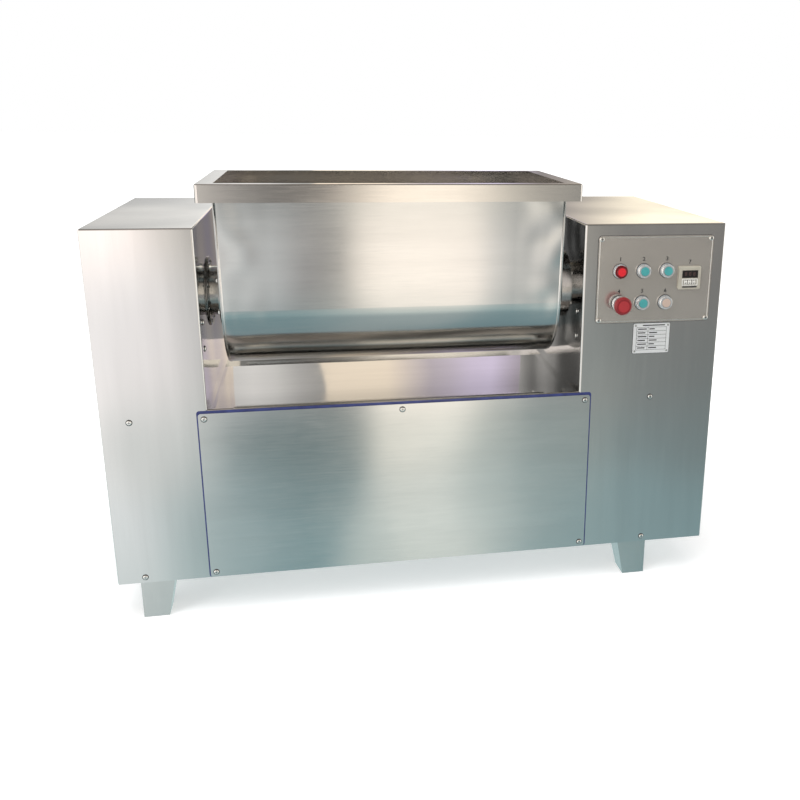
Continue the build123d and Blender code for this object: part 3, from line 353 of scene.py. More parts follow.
def brushed_steel(name, colour, roughness, grain, stripes, waves=0.0, polish=0.0, metallic=1.0):
    """Stainless sheet. The grain is noise stretched along one axis (grain gives its fineness along
    X, Y and Z, per metre); it turns the roughness and, by a little bump, the reflections. Wide soft
    stripes are the same noise far coarser. waves is the dish and bow of thin sheet in metres, and
    polish is taken off the strength of the grain's bump."""
    groove_strength, groove_depth = 0.35, 0.000006
    darkest, lightest = 0.95, 1.04
    grain_change, smudge_change = 0.03, 0.02
    smudge_scale, smudge_shift = (7, 7, 7), (0.3, 5.1, 2.2)
    stripe_shift = (3.1, 1.7, 0.4)
    wave_scale, wave_shift = (3.6, 3.6, 2.8), (1.3, 0.2, 4.7)
    made, tree = new_material(name)
    point = here(tree)

    def stretched(scale, detail, shift=(0, 0, 0), layer_strength=0.6):
        """Noise with a fineness of its own along each axis, shifted so that no two are alike."""
        mapping = add_node(tree, "Mapping", {"Vector": point, "Location": shift, "Scale": scale})
        return noise(tree, mapping.outputs["Vector"], 1.0, detail, layer_strength)

    fine = stretched(grain, detail=4.0)
    broad = stretched(stripes, 3.0, stripe_shift)
    smudge = stretched(smudge_scale, 4.0, smudge_shift)
    bow = None
    if waves:
        bow = bumped(tree, stretched(wave_scale, 0.0, wave_shift), 1.0, waves)
        bow.name = "bow"
    grooves = bumped(tree, fine, groove_strength - polish, groove_depth, bow)
    finish_surface(tree, {
        "Base Color": drifting(tree, colour, darkest, lightest, spread(tree, broad, 0.0, 1.0)),
        "Metallic": metallic,
        "Roughness": maths(
            tree, "ADD", spread(tree, fine, roughness - grain_change, roughness + grain_change),
            spread(tree, smudge, -smudge_change, smudge_change)),
        "Normal": grooves.outputs["Normal"],
    })
    return made


def dress(material, *names):
    """Gives a material to CAD nodes, in every slot they have."""
    for name in names:
        data = nodes[name].data
        if not data.materials:
            data.materials.append(material)
        for k in range(len(data.materials)):
            data.materials[k] = material


steel = (0.72, 0.72, 0.715)
cabinet_sheet = brushed_steel("cabinet_sheet", steel, 0.10, (900, 900, 14), (16, 16, 1.2),
                              waves=0.007, polish=0.20)
dress(cabinet_sheet, "left_cabinet_body", "right_cabinet_body", "left_side_cover",
      "right_side_cover", "base_plate", "rear_panel")


# Deck. A shallow tray pressed into 2 mm sheet between the cabinets, with a rolled lip at the front.
# It is polished bright, so that it mirrors the trough above it.
rolled_steel = (0.70, 0.70, 0.69)
deck_sheet = brushed_steel("deck_sheet", rolled_steel, 0.07, (14, 900, 900), (1.5, 14, 14),
                           waves=0.003, polish=0.2)
dress(deck_sheet, "deck_tray")


# Front panel. One brushed sheet screwed on in front of the bay; the blue protective film it came in
# still shows as a thin dark line round its edge.
panel_sheet = brushed_steel("panel_sheet", steel, 0.12, (14, 900, 900), (1.6, 13, 13), waves=0.004)
dress(panel_sheet, "front_panel")

film_folds, film_light = (0.012, 0.016, 0.10), (0.05, 0.07, 0.26)
crease_scale, crease_strength, crease_depth = 60.0, 0.4, 0.0003
made, tree = new_material("navy_film")
crease = noise(tree, here(tree), crease_scale)
finish_surface(tree, {
    "Base Color": ramp(tree, [(0.0, film_folds), (1.0, film_light)], crease, "LINEAR"),
    "Roughness": 0.32,
    "Coat Weight": 0.3,
    "Normal": bumped(tree, crease, crease_strength, crease_depth).outputs["Normal"],
})
dress(made, "front_panel_film")


# Feet. Four tapering box feet, folded and welded from stainless sheet and welded under the base
# plate. They are duller than the panels, with an upright grain.
foot_sheet = brushed_steel("foot_sheet", rolled_steel, 0.20, (700, 700, 12), (20, 20, 4), waves=0.004)
dress(foot_sheet, "foot_front_left", "foot_front_right", "foot_rear_left", "foot_rear_right")


# Trough. A stainless sheet bent to a U, with an end plate welded on at each side and a folded rim on
# top. It is brushed along its length and polished outside; its inner faces are darkened as painted shade.
trough_sheet = brushed_steel("trough_sheet", rolled_steel, 0.15, (14, 700, 700), (1.4, 16, 16),
                             waves=0.006, polish=0.22)
tilt_axis = np.mean(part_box("agitator_shaft"), axis=0) * (0, 1, 1)
left_end, right_end = np.array(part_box("trough_end_left")), np.array(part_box("trough_end_right"))
# The colour that the trough's inner faces are multiplied by: painted shade.
painted_inner_shade = (0.52, 0.5044, 0.4836, 1)

# The middle of the sheet: its radius in the bend, and its reach and lean beside the axis.
bend_middle, side_middle, side_lean = 0.1585, 0.1591, 0.0896


def darker_inside(tree):
    """Darkens the trough's inner faces with painted shade. A point is inside when it lies nearer to the
    axis than the middle of the sheet: within a circle below the axis, and between two leaning lines
    above it, and between the middles of the end plates."""
    spot = axes(tree, here(tree))
    reach = maths(tree, "ABSOLUTE", maths(tree, "SUBTRACT", spot["Y"], tilt_axis[1]))
    height = maths(tree, "SUBTRACT", spot["Z"], tilt_axis[2])
    below = maths(tree, "MINIMUM", height, 0.0)
    squares = maths(tree, "ADD", maths(tree, "MULTIPLY", reach, reach),
                    maths(tree, "MULTIPLY", below, below))
    in_bend = maths(tree, "LESS_THAN", maths(tree, "SQRT", squares), bend_middle)
    side = maths(tree, "ADD", maths(tree, "MULTIPLY", height, side_lean), side_middle)
    in_sides = maths(tree, "MULTIPLY", maths(tree, "LESS_THAN", reach, side),
                     maths(tree, "GREATER_THAN", height, 0.0))
    between = maths(tree, "MULTIPLY", maths(tree, "GREATER_THAN", spot["X"], left_end[:, 0].mean()),
                    maths(tree, "LESS_THAN", spot["X"], right_end[:, 0].mean()))
    inside = maths(tree, "MULTIPLY", maths(tree, "MAXIMUM", in_bend, in_sides), between)
    colour = tree.nodes["Principled BSDF"].inputs["Base Color"]
    plain = colour.links[0].from_socket
    tree.links.new(blend_colours(tree, "MULTIPLY", plain, painted_inner_shade, inside), colour)


weld_middle = (left_end[0, 0] + right_end[1, 0]) / 2
weld_half = (right_end[1, 0] - left_end[0, 0]) / 2
weld_reach, weld_depth, dimple_scale = 0.11, 0.0042, 15.0


def welded_ends(tree):
    """The heat of the end welds leaves shallow dimples in the sheet. They are soft noise whose
    height grows from nothing, at weld_reach from an end, to weld_depth at the end."""
    point = here(tree)
    reach = maths(tree, "ABSOLUTE", maths(tree, "SUBTRACT", axes(tree, point)["X"], weld_middle))
    growth = fitted(tree, reach, weld_half - weld_reach, weld_half, easing="SMOOTHSTEP")
    height = maths(tree, "MULTIPLY", noise(tree, point, dimple_scale, 0.0), growth)
    dent = bumped(tree, height, 1.0, weld_depth)
    tree.links.new(dent.outputs["Normal"], tree.nodes["bow"].inputs["Normal"])


darker_inside(trough_sheet.node_tree)
welded_ends(trough_sheet.node_tree)
dress(trough_sheet, "trough_shell", "trough_end_left", "trough_end_right")
rim_sheet = brushed_steel("rim_sheet", (0.71, 0.70, 0.685), 0.12, (12, 700, 700), (2, 18, 18))
dress(rim_sheet, "trough_rim")


def face_outward(made):
    """Turns all faces of a closed mesh outwards."""
    shape = bmesh.new()
    shape.from_mesh(made.data)
    bmesh.ops.recalc_face_normals(shape, faces=shape.faces)
    shape.to_mesh(made.data)
    shape.free()


def grid_faces(rows, columns, close_rows, close_columns):
    """The faces of a grid of points: each point joins the next in its row and in its column, and
    the last joins the first where a direction is closed."""
    i, j = np.meshgrid(np.arange(rows if close_rows else rows - 1),
                       np.arange(columns if close_columns else columns - 1), indexing="ij")
    below, beside = (i + 1) % rows, (j + 1) % columns
    return np.stack([i * columns + j, i * columns + beside, below * columns + beside,
                     below * columns + j], axis=-1).reshape(-1, 4)


def grid_object(name, points, close_rows, close_columns):
    """A surface through a grid of points. Open ends of a tube get a flat lid."""
    rows, columns = points.shape[:2]
    faces = grid_faces(rows, columns, close_rows, close_columns).tolist()
    if close_columns and not close_rows:
        faces.append(list(range(columns)))
        faces.append(list(range((rows - 1) * columns, rows * columns)))
    made = add_object(name, points.reshape(-1, 3), faces)
    face_outward(made)
    return made


# The ends are welded in from outside. Each weld is a low round bead that follows the U, ground
# smooth and a little brighter than the sheet.
shell_low, shell_high = np.array(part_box("trough_shell"))
bend_radius = tilt_axis[2] - shell_low[2]
mouth_half = (shell_high[1] - shell_low[1]) / 2
mouth_rise = shell_high[2] - tilt_axis[2]
bead_radius, bead_sink, bead_steps = 0.0024, 0.0010, 12
bead_steel = brushed_steel("bead_steel", (0.80, 0.80, 0.79), 0.16, (300, 300, 300), (30, 30, 30))


def u_path(radius, half, rise, bend_steps=48):
    """The U in the plane across the axis, from the front rim under the axis to the rear rim: two
    straight sides that touch a circle about the axis. Returns points and their outward normals."""
    touch = math.atan2(rise, -half) + math.acos(radius / math.hypot(half, rise))
    turn = np.linspace(touch, 3 * math.pi - touch, bend_steps)
    normals = np.stack([np.cos(turn), np.sin(turn)], axis=1)
    path = np.concatenate([[(-half, rise)], radius * normals, [(half, rise)]])
    return path, np.concatenate([normals[:1], normals, normals[-1:]])


path, normals = u_path(bend_radius, mouth_half, mouth_rise)
around = np.linspace(0, 2 * math.pi, bead_steps, endpoint=False)
for side, bead_x in (("left", shell_low[0]), ("right", shell_high[0])):
    proud = bead_radius * np.cos(around)[None, :] - bead_sink
    bead = np.empty((len(path), bead_steps, 3))
    bead[:, :, 0] = bead_x + bead_radius * np.sin(around)
    bead[:, :, 1:] = tilt_axis[1:] + path[:, None] + normals[:, None] * proud[..., None]
    weld = grid_object(f"trough_weld_{side}", bead, False, True)
    weld.data.materials.append(bead_steel)
    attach(weld, "trough")


# Trunnions and their bearings. Turned stainless flanges with fine lathe rings, held by bright
# domed bolts on a ring round the hub.
def turned_steel(name, colour, roughness, centre):
    """Turned steel. Rings round the X axis through centre: noise of the distance from it gives the
    tool marks, as roughness and a little bump."""
    ring_scale, ring_change, mark_strength, mark_depth = 1400.0, 0.06, 0.3, 0.000004
    made, tree = new_material(name)
    mapping = add_node(tree, "Mapping", {"Vector": here(tree), "Location": [-c for c in centre]})
    spot = axes(tree, mapping.outputs["Vector"])
    outward = add_node(tree, "CombineXYZ", {"Y": spot["Y"], "Z": spot["Z"]})
    track = add_node(tree, "CombineXYZ", {"X": length(tree, outward.outputs[0]), "Y": spot["X"]})
    rings = noise(tree, track.outputs[0], ring_scale)
    finish_surface(tree, {
        "Base Color": (*colour, 1),
        "Metallic": 1.0,
        "Roughness": spread(tree, rings, roughness - ring_change, roughness + ring_change),
        "Normal": bumped(tree, rings, mark_strength, mark_depth).outputs["Normal"],
    })
    return made


# This steel is darkened well below the other stainless: painted shade for the dark surroundings the hubs
# mirror.
shaded_trunnion_steel = turned_steel("shaded_trunnion_steel", (0.42, 0.42, 0.41), 0.17, tilt_axis)
dress(shaded_trunnion_steel, "left_trunnion", "right_trunnion", "left_trunnion_bearing",
      "right_trunnion_bearing", "agitator_shaft")
bolt_steel = turned_steel("bolt_steel", (0.86, 0.86, 0.84), 0.16, (0, 0, 0))
screw_nodes = ("front_panel_screws", "cover_screws", "control_plate_screws")
dress(bolt_steel, "trunnion_bolts", "bearing_bolts", "rating_plate_rivets", *screw_nodes)


def head_places(*names, reach=0.012, same=0.00001):
    """Finds the screw heads of nodes: the points of a head lie within reach of each other. A head
    faces along its shortest side, towards the end where its points lie closer to its middle line;
    same is how far points at one end may differ. Returns the middles of the heads' faces and the
    directions in which they face, one row for each head."""
    middles, facings = [], []
    for name in names:
        vertices = nodes[name].data.vertices
        points = np.empty(3 * len(vertices))
        vertices.foreach_get("co", points)
        points = points.reshape(-1, 3)
        while len(points):
            near = np.linalg.norm(points - points[0], axis=1) < reach
            head, points = points[near], points[~near]
            low, high = head.min(axis=0), head.max(axis=0)
            axis = int(np.argmin(high - low))
            middle = (low + high) / 2
            width = np.linalg.norm(np.delete(head - middle, axis, axis=1), axis=1)
            at_low = width[head[:, axis] < low[axis] + same].max()
            at_high = width[head[:, axis] > high[axis] - same].max()
            facing = np.zeros(3)
            facing[axis] = 1.0 if at_high < at_low else -1.0
            middle[axis] = high[axis] if at_high < at_low else low[axis]
            middles.append(middle)
            facings.append(facing)
    return np.array(middles), np.array(facings)


def head_axes(facings):
    """Two directions in the plane of each head, square to each other and to its facing."""
    along = np.roll(facings, 1, axis=1)
    return along[:, None], np.cross(facings, along)[:, None]


def repeated(faces, count, points_each):
    """The faces of one item, for count such items whose points follow each other."""
    starts = np.arange(count)[:, None, None] * points_each
    return (faces + starts).reshape(-1, faces.shape[1]).tolist()


def black_marks(name, colour):
    """Printed or etched marks, and dark pieces that stand for painted shade: near black, matt, with a
    slight unevenness.
    """
    speckle_scale, darkest, lightest = 1500.0, 0.7, 1.4
    made, tree = new_material(name)
    speckle = noise(tree, here(tree), speckle_scale)
    finish_surface(tree, {
        "Base Color": drifting(tree, colour, darkest, lightest, speckle),
        "Roughness": 0.6,
    })
    return made


# Each screw's cross recess is drawn as a flat dark cross that lies on its head: painted shade in place
# of a real recess. On the outermost heads it is sunk, so that nothing stands out past them.
cross_reach, cross_half, cross_rise = 0.0026, 0.00045, 0.00012
ink_and_shade = black_marks("black_ink_and_shade", (0.03, 0.03, 0.032))
cross_quarter = np.array([(cross_reach, -cross_half), (cross_reach, cross_half),
                          (cross_half, cross_half)])
cross_turns = [np.array([(math.cos(t), math.sin(t)), (-math.sin(t), math.cos(t))])
               for t in np.arange(4) * math.pi / 2]
cross = np.concatenate([cross_quarter @ cross_turn for cross_turn in cross_turns])
middles, facings = head_places(*screw_nodes)
room = np.minimum(middles[:, 0] - cad_low[0], cad_high[0] - middles[:, 0])
outermost = (facings[:, 0] != 0) & (room < cross_rise)
middles[outermost] -= facings[outermost] * cross_rise
along, across = head_axes(facings)
flat = middles[:, None] + cross[:, :1] * along + cross[:, 1:] * across
corner = np.arange(len(cross))
next_corner = (corner + 1) % len(cross)
cross_sides = np.stack([corner, next_corner, next_corner + len(cross), corner + len(cross)], axis=1)
cross_lids = np.stack([corner[::-1], corner + len(cross)])
cross_faces = [face for part in (cross_sides, cross_lids)
               for face in repeated(part, len(middles), 2 * len(cross))]
cross_points = np.stack([flat, flat + facings[:, None] * cross_rise], axis=1)
recess_shade = add_object("screw_recess_shade", cross_points.reshape(-1, 3), cross_faces, smooth=False)
face_outward(recess_shade)
recess_shade.data.materials.append(ink_and_shade)
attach(recess_shade, "root")


# A cover ring of the same darkened steel is bolted to the left bay wall round the hub, with a gap
# all round it; its darkness is painted shade.
def turned(name, profile, centre, steps=64):
    """A solid of revolution about an axis along X: profile is a closed line of (radius, distance
    along the axis), carried round the axis through centre."""
    sweep = np.linspace(0, 2 * math.pi, steps, endpoint=False)
    radius, along = np.array(profile).T
    points = np.empty((len(profile), steps, 3))
    points[:, :, 0] = centre[0] + along[:, None]
    points[:, :, 1] = centre[1] + radius[:, None] * np.cos(sweep)
    points[:, :, 2] = centre[2] + radius[:, None] * np.sin(sweep)
    return grid_object(name, points, True, True)


bay_wall_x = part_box("deck_tray")[0][0]
cover_thickness = 0.0030
cover_profile = [(0.0570, 0.0), (0.0570, 0.0024), (0.0577, cover_thickness),
                 (0.0765, cover_thickness), (0.0780, 0.0021), (0.0780, 0.0)]
cover = turned("left_hub_cover", cover_profile, (bay_wall_x, tilt_axis[1], tilt_axis[2]))
cover.data.materials.append(shaded_trunnion_steel)
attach(cover, "root")
cover_bolt_count, cover_bolt_circle, cover_bolt_steps = 8, 0.0675, 20
nearly_none = 0.00002
cover_bolt_profile = [(nearly_none, 0.0), (0.0046, 0.0), (0.0046, 0.0009), (0.0036, 0.0017),
                      (0.0020, 0.0021), (nearly_none, 0.0022)]
for k in range(cover_bolt_count):
    turn = (k + 0.5) * 2 * math.pi / cover_bolt_count
    bolt_place = (bay_wall_x + cover_thickness, tilt_axis[1] + cover_bolt_circle * math.cos(turn),
                  tilt_axis[2] + cover_bolt_circle * math.sin(turn))
    cover_bolt = turned(f"left_hub_cover_bolt_{k + 1}", cover_bolt_profile, bolt_place,
                        cover_bolt_steps)
    cover_bolt.data.materials.append(bolt_steel)
    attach(cover_bolt, "root")

# A thin dark ring round each screw head of the panel and the cabinets: painted shade round the heads.
shade_ring_inner, shade_ring_outer, shade_ring_rise, shade_ring_steps = 0.0050, 0.0067, 0.0007, 24
head_height = 0.0030
middles, facings = head_places("front_panel_screws", "cover_screws")
along, across = head_axes(facings)
turn = np.linspace(0, 2 * math.pi, shade_ring_steps, endpoint=False)[:, None]
circle = np.cos(turn) * along + np.sin(turn) * across
foot = (middles - facings * head_height)[:, None]
shade_ring_loops = [foot + facings[:, None] * lift + circle * radius
                for radius, lift in ((shade_ring_outer, 0.0), (shade_ring_inner, 0.0),
                                     (shade_ring_inner, shade_ring_rise), (shade_ring_outer, shade_ring_rise))]
shade_ring_faces = repeated(grid_faces(4, shade_ring_steps, True, True), len(middles), 4 * shade_ring_steps)
shade_rings = add_object("screw_shade_rings", np.stack(shade_ring_loops, axis=1).reshape(-1, 3), shade_ring_faces)
face_outward(shade_rings)
shade_rings.data.materials.append(ink_and_shade)
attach(shade_rings, "root")


# Agitator. Two S-shaped ribbons of flat stainless bar, welded to round arms on hubs along the shaft,
# polished after welding.
ribbon_steel = brushed_steel("ribbon_steel", (0.72, 0.72, 0.71), 0.17, (60, 500, 500), (14, 14, 14))
dress(ribbon_steel, "agitator_ribbon")


# Control plate. An etched stainless plate, screwed to the right cabinet, and under it the small bare
# rating plate, on four rivets. A thin dark frame round each plate is painted shade along its edges.
plate_steel = brushed_steel("plate_steel", (0.66, 0.622, 0.572), 0.19, (60, 900, 900), (3, 12, 12),
                            polish=0.30, metallic=0.78)
dress(plate_steel, "control_plate")


def front_frame(name, low, high, y, corner, width, thickness, corner_steps=8):
    """A flat frame parallel to the front. Its outer line is four quarter circles at the corners;
    the inner line has the same centres and a radius smaller by the width."""
    turn = np.linspace(0, math.pi / 2, corner_steps)
    angles = np.concatenate([turn + k * math.pi / 2 for k in range(4)])
    left, right_side = low[0] + corner, high[0] - corner
    bottom, top = low[2] + corner, high[2] - corner
    centre_x = np.repeat([right_side, left, left, right_side], corner_steps)
    centre_z = np.repeat([top, top, bottom, bottom], corner_steps)
    loops = [np.stack([centre_x + radius * np.cos(angles), np.full(len(angles), y - depth),
                       centre_z + radius * np.sin(angles)], axis=1)
             for radius, depth in ((corner, 0), (corner - width, 0),
                                   (corner - width, thickness), (corner, thickness))]
    return grid_object(name, np.array(loops), True, True)


sheet_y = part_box("right_cabinet_body")[0][1]
# A thin dark frame just outside each plate: painted shade along its edges.
shadow_line_margin, shadow_line_width, shadow_line_thickness = 0.0009, 0.0025, 0.0006
for name, plate, corner_radius in (("control_shadow_line", "control_plate", 0.009),
                                   ("rating_shadow_line", "rating_plate", 0.004)):
    low, high = np.array(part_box(plate))
    shadow_line = front_frame(name, low - shadow_line_margin, high + shadow_line_margin, sheet_y, corner_radius,
                         shadow_line_width, shadow_line_thickness)
    shadow_line.data.materials.append(ink_and_shade)
    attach(shadow_line, "root")


def place_number(name, text, height, place, turn, body, material=ink_and_shade):
    """Sets a plain number on a face, as a thin raised shape with place at its middle. turn gives
    the face's right, up and outward directions."""
    stroke_gain, rise = 0.03, 0.00006
    curve = bpy.data.curves.new(name, "FONT")
    curve.body = text
    curve.size = height
    curve.offset = height * stroke_gain
    curve.extrude = rise
    curve.align_x = "CENTER"
    curve.align_y = "CENTER"
    letter = bpy.data.objects.new(name, curve)
    bpy.context.scene.collection.objects.link(letter)
    bpy.context.view_layer.update()
    mesh = bpy.data.meshes.new_from_object(letter.evaluated_get(bpy.context.evaluated_depsgraph_get()))
    bpy.data.objects.remove(letter)
    bpy.data.curves.remove(curve)
    mesh.transform(Matrix.Translation(place) @ Matrix(turn).transposed().to_4x4())
    mesh.name = name
    made = bpy.data.objects.new(name, mesh)
    bpy.context.scene.collection.objects.link(made)
    mesh.materials.clear()
    mesh.materials.append(material)
    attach(made, body)


# A pale line runs round the plate, just inside its edge: a painted highlight of its bright edge.
plate_low, plate_high = np.array(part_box("control_plate"))
plate_face = plate_low[1]
highlight_line_steel = brushed_steel("highlight_line_steel", (0.95, 0.94, 0.91), 0.30, (300, 300, 300), (40, 40, 40))
line_inset, line_corner, line_width, line_rise = 0.0030, 0.006, 0.0011, 0.00006
plate_highlight_line = front_frame("plate_highlight_line", plate_low + line_inset, plate_high - line_inset, plate_face,
                         line_corner, line_width, line_rise)
plate_highlight_line.data.materials.append(highlight_line_steel)
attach(plate_highlight_line, "root")

# Each device has a plain number etched above it.
front_turn = ((1, 0, 0), (0, 0, 1), (0, -1, 0))
first_column, column_pitch, first_row, row_pitch = 0.052, 0.0546, 0.078, 0.072
device_columns = [plate_low[0] + first_column + k * column_pitch for k in range(4)]
device_rows = [plate_high[2] - first_row - k * row_pitch for k in range(2)]
mark_rise, mark_height, timer_mark_rise = 0.0262, 0.0120, 0.0180
marks = [(x, z + mark_rise) for z in device_rows for x in device_columns[:3]]
marks.append((device_columns[3], device_rows[0] + timer_mark_rise))
for k, (x, z) in enumerate(marks):
    place_number(f"mark_{k + 1}", str(k + 1), mark_height, (x, plate_face, z), front_turn, "root")

# The rating plate is anodised aluminium, with ruled lines and blank fields: one field in its head,
# and two in each row, whose lengths change from row to row.
rating_metal = brushed_steel("rating_metal", (0.86, 0.87, 0.88), 0.42, (14, 800, 800), (5, 20, 20),
                             metallic=0.45)
dress(rating_metal, "rating_plate")
rating_low, rating_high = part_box("rating_plate")
rule_width, rule_rise, side_margin, top_margin, rule_share = 0.0007, 0.00008, 0.008, 0.009, 0.38
rule_pitch, rule_count = 0.0088, 6
left_rule, right_rule = rating_low[0] + side_margin, rating_high[0] - side_margin
top_rule = rating_high[2] - top_margin
middle_rule = left_rule + (right_rule - left_rule) * rule_share
low_rule = top_rule - rule_count * rule_pitch - rule_width
bars = [(left_rule, right_rule, top_rule - k * rule_pitch - rule_width, top_rule - k * rule_pitch)
        for k in range(rule_count + 1)]
bars += [(x - rule_width / 2, x + rule_width / 2, low_rule, top_rule)
         for x in (left_rule, middle_rule, right_rule)]
field_inset, field_height, field_length = 0.0030, 0.0026, 0.010
head_rise, head_from_left, head_from_right = 0.0042, 0.014, 0.004
fields = [(left_rule + head_from_left, right_rule - head_from_right, top_rule + head_rise)]
for k in range(rule_count):
    row = top_rule - (k + 0.5) * rule_pitch
    shorter = field_inset * (1 + k % 2)
    fields.append((left_rule + field_inset, middle_rule - shorter, row))
    fields.append((middle_rule + field_inset, middle_rule + field_length + shorter * 2, row))
bars += [(start, end, row - field_height / 2, row + field_height / 2) for start, end, row in fields]
x0, x1, z0, z1 = np.array(bars).T
bar_points = np.stack([np.stack([x, np.full(len(bars), rating_low[1] - lift), z], axis=1)
                       for lift in (0.0, rule_rise)
                       for x, z in ((x0, z0), (x1, z0), (x1, z1), (x0, z1))], axis=1)
bar_faces = np.array([(4, 5, 6, 7), (3, 2, 1, 0), (0, 1, 5, 4), (1, 2, 6, 5), (2, 3, 7, 6), (3, 0, 4, 7)])
rules = add_object("rating_rules", bar_points.reshape(-1, 3), repeated(bar_faces, len(bars), 8),
                   smooth=False)
rules.data.materials.append(ink_and_shade)
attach(rules, "root")


# Lamp, buttons and stop button. Glossy moulded caps and a red lens in chromed bezels, each clamped
# through a hole in the plate, with a thin dark ring of painted shade round the bezel.
def moulded(name, colour, roughness, mottle=0.12, coat=0.0, peel_depth=0.00008, metallic=0.0):
    """Moulded plastic or paint: a base colour that drifts by mottle of itself, with fine orange peel
    that is peel_depth metres deep."""
    drift_scale, drift_detail, peel_scale, peel_strength = 45.0, 4.0, 900.0, 0.3
    glossier, duller = 0.05, 0.07
    made, tree = new_material(name)
    point = here(tree)
    drift = noise(tree, point, drift_scale, drift_detail)
    peel = noise(tree, point, peel_scale)
    finish_surface(tree, {
        "Base Color": drifting(tree, colour, 1 - mottle, 1 + mottle, drift),
        "Metallic": metallic,
        "Coat Weight": coat,
        "Roughness": fitted(tree, peel, 0.0, 1.0, roughness - glossier, roughness + duller),
        "Normal": bumped(tree, peel, peel_strength, peel_depth).outputs["Normal"],
    })
    return made


def two_tone(made, axis_place, edge, soft, colour):
    """Turns a moulded material darker or lighter outside a circle round an axis along Y; here it paints
    shade round the rims of the red heads: edge is the circle's radius, and soft half the width of the
    change."""
    tree = made.node_tree
    centred = add_node(tree, "Mapping", {"Vector": here(tree), "Scale": (1, 0, 1),
                                         "Location": (-axis_place[0], 0, -axis_place[1])})
    outside = fitted(tree, length(tree, centred.outputs["Vector"]), edge - soft, edge + soft,
                     easing="SMOOTHSTEP")
    base = tree.nodes["Principled BSDF"].inputs["Base Color"]
    inner = base.links[0].from_socket
    tree.links.new(blend_colours(tree, "MIX", inner, (*colour, 1), outside), base)
    return made


# The red lens and the stop head turn darker towards their rims: painted shade.
lens_edge, lens_blur, lens_shade = 0.0092, 0.0008, (0.16, 0.003, 0.006)
lens_red = moulded("red_lens", (0.80, 0.018, 0.03), 0.18, coat=0.35)
dress(two_tone(lens_red, (device_columns[0], device_rows[0]), lens_edge, lens_blur, lens_shade),
      "lamp_lens")
dress(moulded("teal_cap", (0.075, 0.40, 0.40), 0.28, coat=0.3),
      "start_button", "stop_button", "tilt_up_button")
dress(moulded("cream_cap", (0.60, 0.46, 0.38), 0.30, coat=0.3), "tilt_down_button")
stop_edge, stop_blur, stop_shade = 0.0125, 0.0006, (0.25, 0.008, 0.013)
stop_red = moulded("stop_red", (0.44, 0.028, 0.035), 0.34, coat=0.2)
dress(two_tone(stop_red, (device_columns[0], device_rows[1]), stop_edge, stop_blur, stop_shade),
      "emergency_stop_head")
dress(moulded("bezel_chrome", (0.78, 0.80, 0.81), 0.14, mottle=0.05, coat=0.4,
              peel_depth=0.000002, metallic=0.65), "button_bezels", "emergency_stop_plunger")


def front_ring(name, place, inner, outer, y, thickness, steps=48):
    """A flat ring parallel to the front, round an axis along Y."""
    turn = np.linspace(0, 2 * math.pi, steps, endpoint=False)
    loops = [np.stack([place[0] + radius * np.cos(turn), np.full(steps, y - depth),
                       place[1] + radius * np.sin(turn)], axis=1)
             for radius, depth in ((outer, 0), (inner, 0), (inner, thickness), (outer, thickness))]
    return grid_object(name, np.array(loops), True, True)


# A thin dark ring round each bezel on the plate: painted shade at its edge.
bezel_shade_inner, bezel_shade_outer, bezel_shade_rise = 0.0150, 0.0172, 0.0008
for row, z in enumerate(device_rows):
    for column, x in enumerate(device_columns[:3]):
        bezel_shade = front_ring(f"bezel_shade_ring_{row + 1}_{column + 1}", (x, z), bezel_shade_inner, bezel_shade_outer,
                          plate_face, bezel_shade_rise)
        bezel_shade.data.materials.append(ink_and_shade)
        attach(bezel_shade, "root")


# Timer. A beige moulded case set in the plate, with a dark window above and three numbered thumb
# wheels below. The wheels are moulded in ivory plastic.
dress(moulded("timer_beige", (0.49, 0.46, 0.38), 0.42), "timer_case")
dress(moulded("timer_window", (0.014, 0.011, 0.011), 0.20, coat=0.15), "timer_window")
dress(moulded("wheel_ivory", (0.78, 0.76, 0.70), 0.40), "timer_wheel_1", "timer_wheel_2",
      "timer_wheel_3")

# Three unlit figures stand in the window.
unlit = black_marks("unlit_figures", (0.055, 0.028, 0.026))
window_box = np.array(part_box("timer_window"))
window_face = window_box[0, 1]
window_x, _, window_z = window_box.mean(axis=0)
figure_pitch, figure_height = 0.0100, 0.0115
for k in range(3):
    figure_x = window_x + (k - 1) * figure_pitch
    place_number(f"window_figure_{k + 1}", "8", figure_height, (figure_x, window_face, window_z),
                 front_turn, "root", unlit)

# A pale frame lies round the slot of the wheels, with a dark printed strip under it.
timer_box = np.array(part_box("timer_case"))
timer_x, timer_face, timer_foot = timer_box[:, 0].mean(), timer_box[0, 1], timer_box[0, 2]
slot_z = np.mean(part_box("timer_wheel_2"), axis=0)[2]
slot_half = np.array([0.0190, 0.0, 0.0078])
slot_place = np.array([timer_x, timer_face, slot_z])
slot_corner, slot_width, slot_rise = 0.0022, 0.0020, 0.0005
wheel_frame = front_frame("timer_frame", slot_place - slot_half, slot_place + slot_half, timer_face,
                          slot_corner, slot_width, slot_rise)
wheel_frame.data.materials.append(moulded("frame_ivory", (0.80, 0.79, 0.74), 0.38))
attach(wheel_frame, "root")
strip_half, strip_height = np.array([0.0175, 0.0, 0.0016]), 0.0058
strip_place = np.array([timer_x, timer_face, timer_foot + strip_height])
strip_corner, strip_width, strip_rise = 0.00159, 0.00155, 0.0003
strip = front_frame("timer_strip", strip_place - strip_half, strip_place + strip_half, timer_face,
                    strip_corner, strip_width, strip_rise)
strip.data.materials.append(ink_and_shade)
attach(strip, "root")

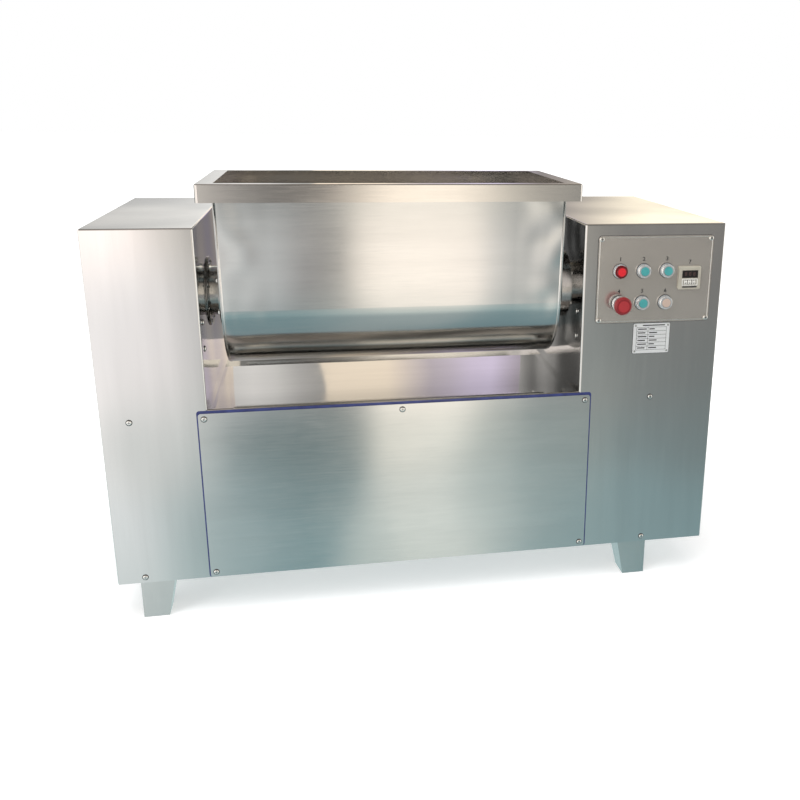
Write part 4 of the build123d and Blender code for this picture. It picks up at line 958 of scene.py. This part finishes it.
# Each wheel has the numbers 0 to 9 on its ten flats.
wheel_flats, numeral_height = 10, 0.0046
for k in range(3):
    wheel_box = np.array(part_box(f"timer_wheel_{k + 1}"))
    flat_radius = np.ptp(wheel_box[:, 1]) / 2 * math.cos(math.pi / wheel_flats)
    for numeral in range(wheel_flats):
        turn = math.pi + (2 * numeral + 1) * math.pi / wheel_flats
        outward = np.array([0.0, math.cos(turn), math.sin(turn)])
        upward = np.cross(outward, (1.0, 0.0, 0.0))
        spot = wheel_box.mean(axis=0) + outward * flat_radius
        place_number(f"numeral_{k + 1}_{numeral}", str(numeral), numeral_height, spot.tolist(),
                     ((1, 0, 0), upward.tolist(), outward.tolist()), f"digit_wheel_{k + 1}")


# Drives and electrical parts. The cast housings and motors are painted grey and blue, with iron
# pulleys and rubber belts; the shaft runs in bronze bushes behind plastic seals, and the cable gland
# screwed in at the rear is nickel plated brass.
paint_peel = 0.0003
dress(moulded("housing_paint", (0.12, 0.125, 0.13), 0.48, peel_depth=paint_peel), "main_reducer",
      "tilt_reducer")
dress(moulded("motor_paint", (0.09, 0.15, 0.25), 0.45, peel_depth=paint_peel), "main_motor",
      "tilt_motor")
dress(moulded("black_plastic", (0.03, 0.03, 0.032), 0.42), "contact_blocks", "contactors",
      "motor_fan_covers")
dress(moulded("belt_rubber", (0.022, 0.022, 0.022), 0.65), "drive_belts")
dress(turned_steel("pulley_iron", (0.25, 0.25, 0.25), 0.42, (0, 0, 0)), "reducer_pulley",
      "motor_pulley")
dress(brushed_steel("zinc_plate", (0.66, 0.67, 0.68), 0.42, (40, 40, 40), (9, 9, 9)),
      "electrical_plate", "main_motor_rails")
dress(turned_steel("nickel_brass", (0.72, 0.64, 0.48), 0.26, (0, 0, 0)), "cable_gland")
dress(turned_steel("bush_bronze", (0.62, 0.42, 0.20), 0.34, tilt_axis), "shaft_bushes")
dress(moulded("seal_plastic", (0.80, 0.79, 0.75), 0.36), "shaft_seals")

bpy.context.view_layer.update()
low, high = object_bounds()
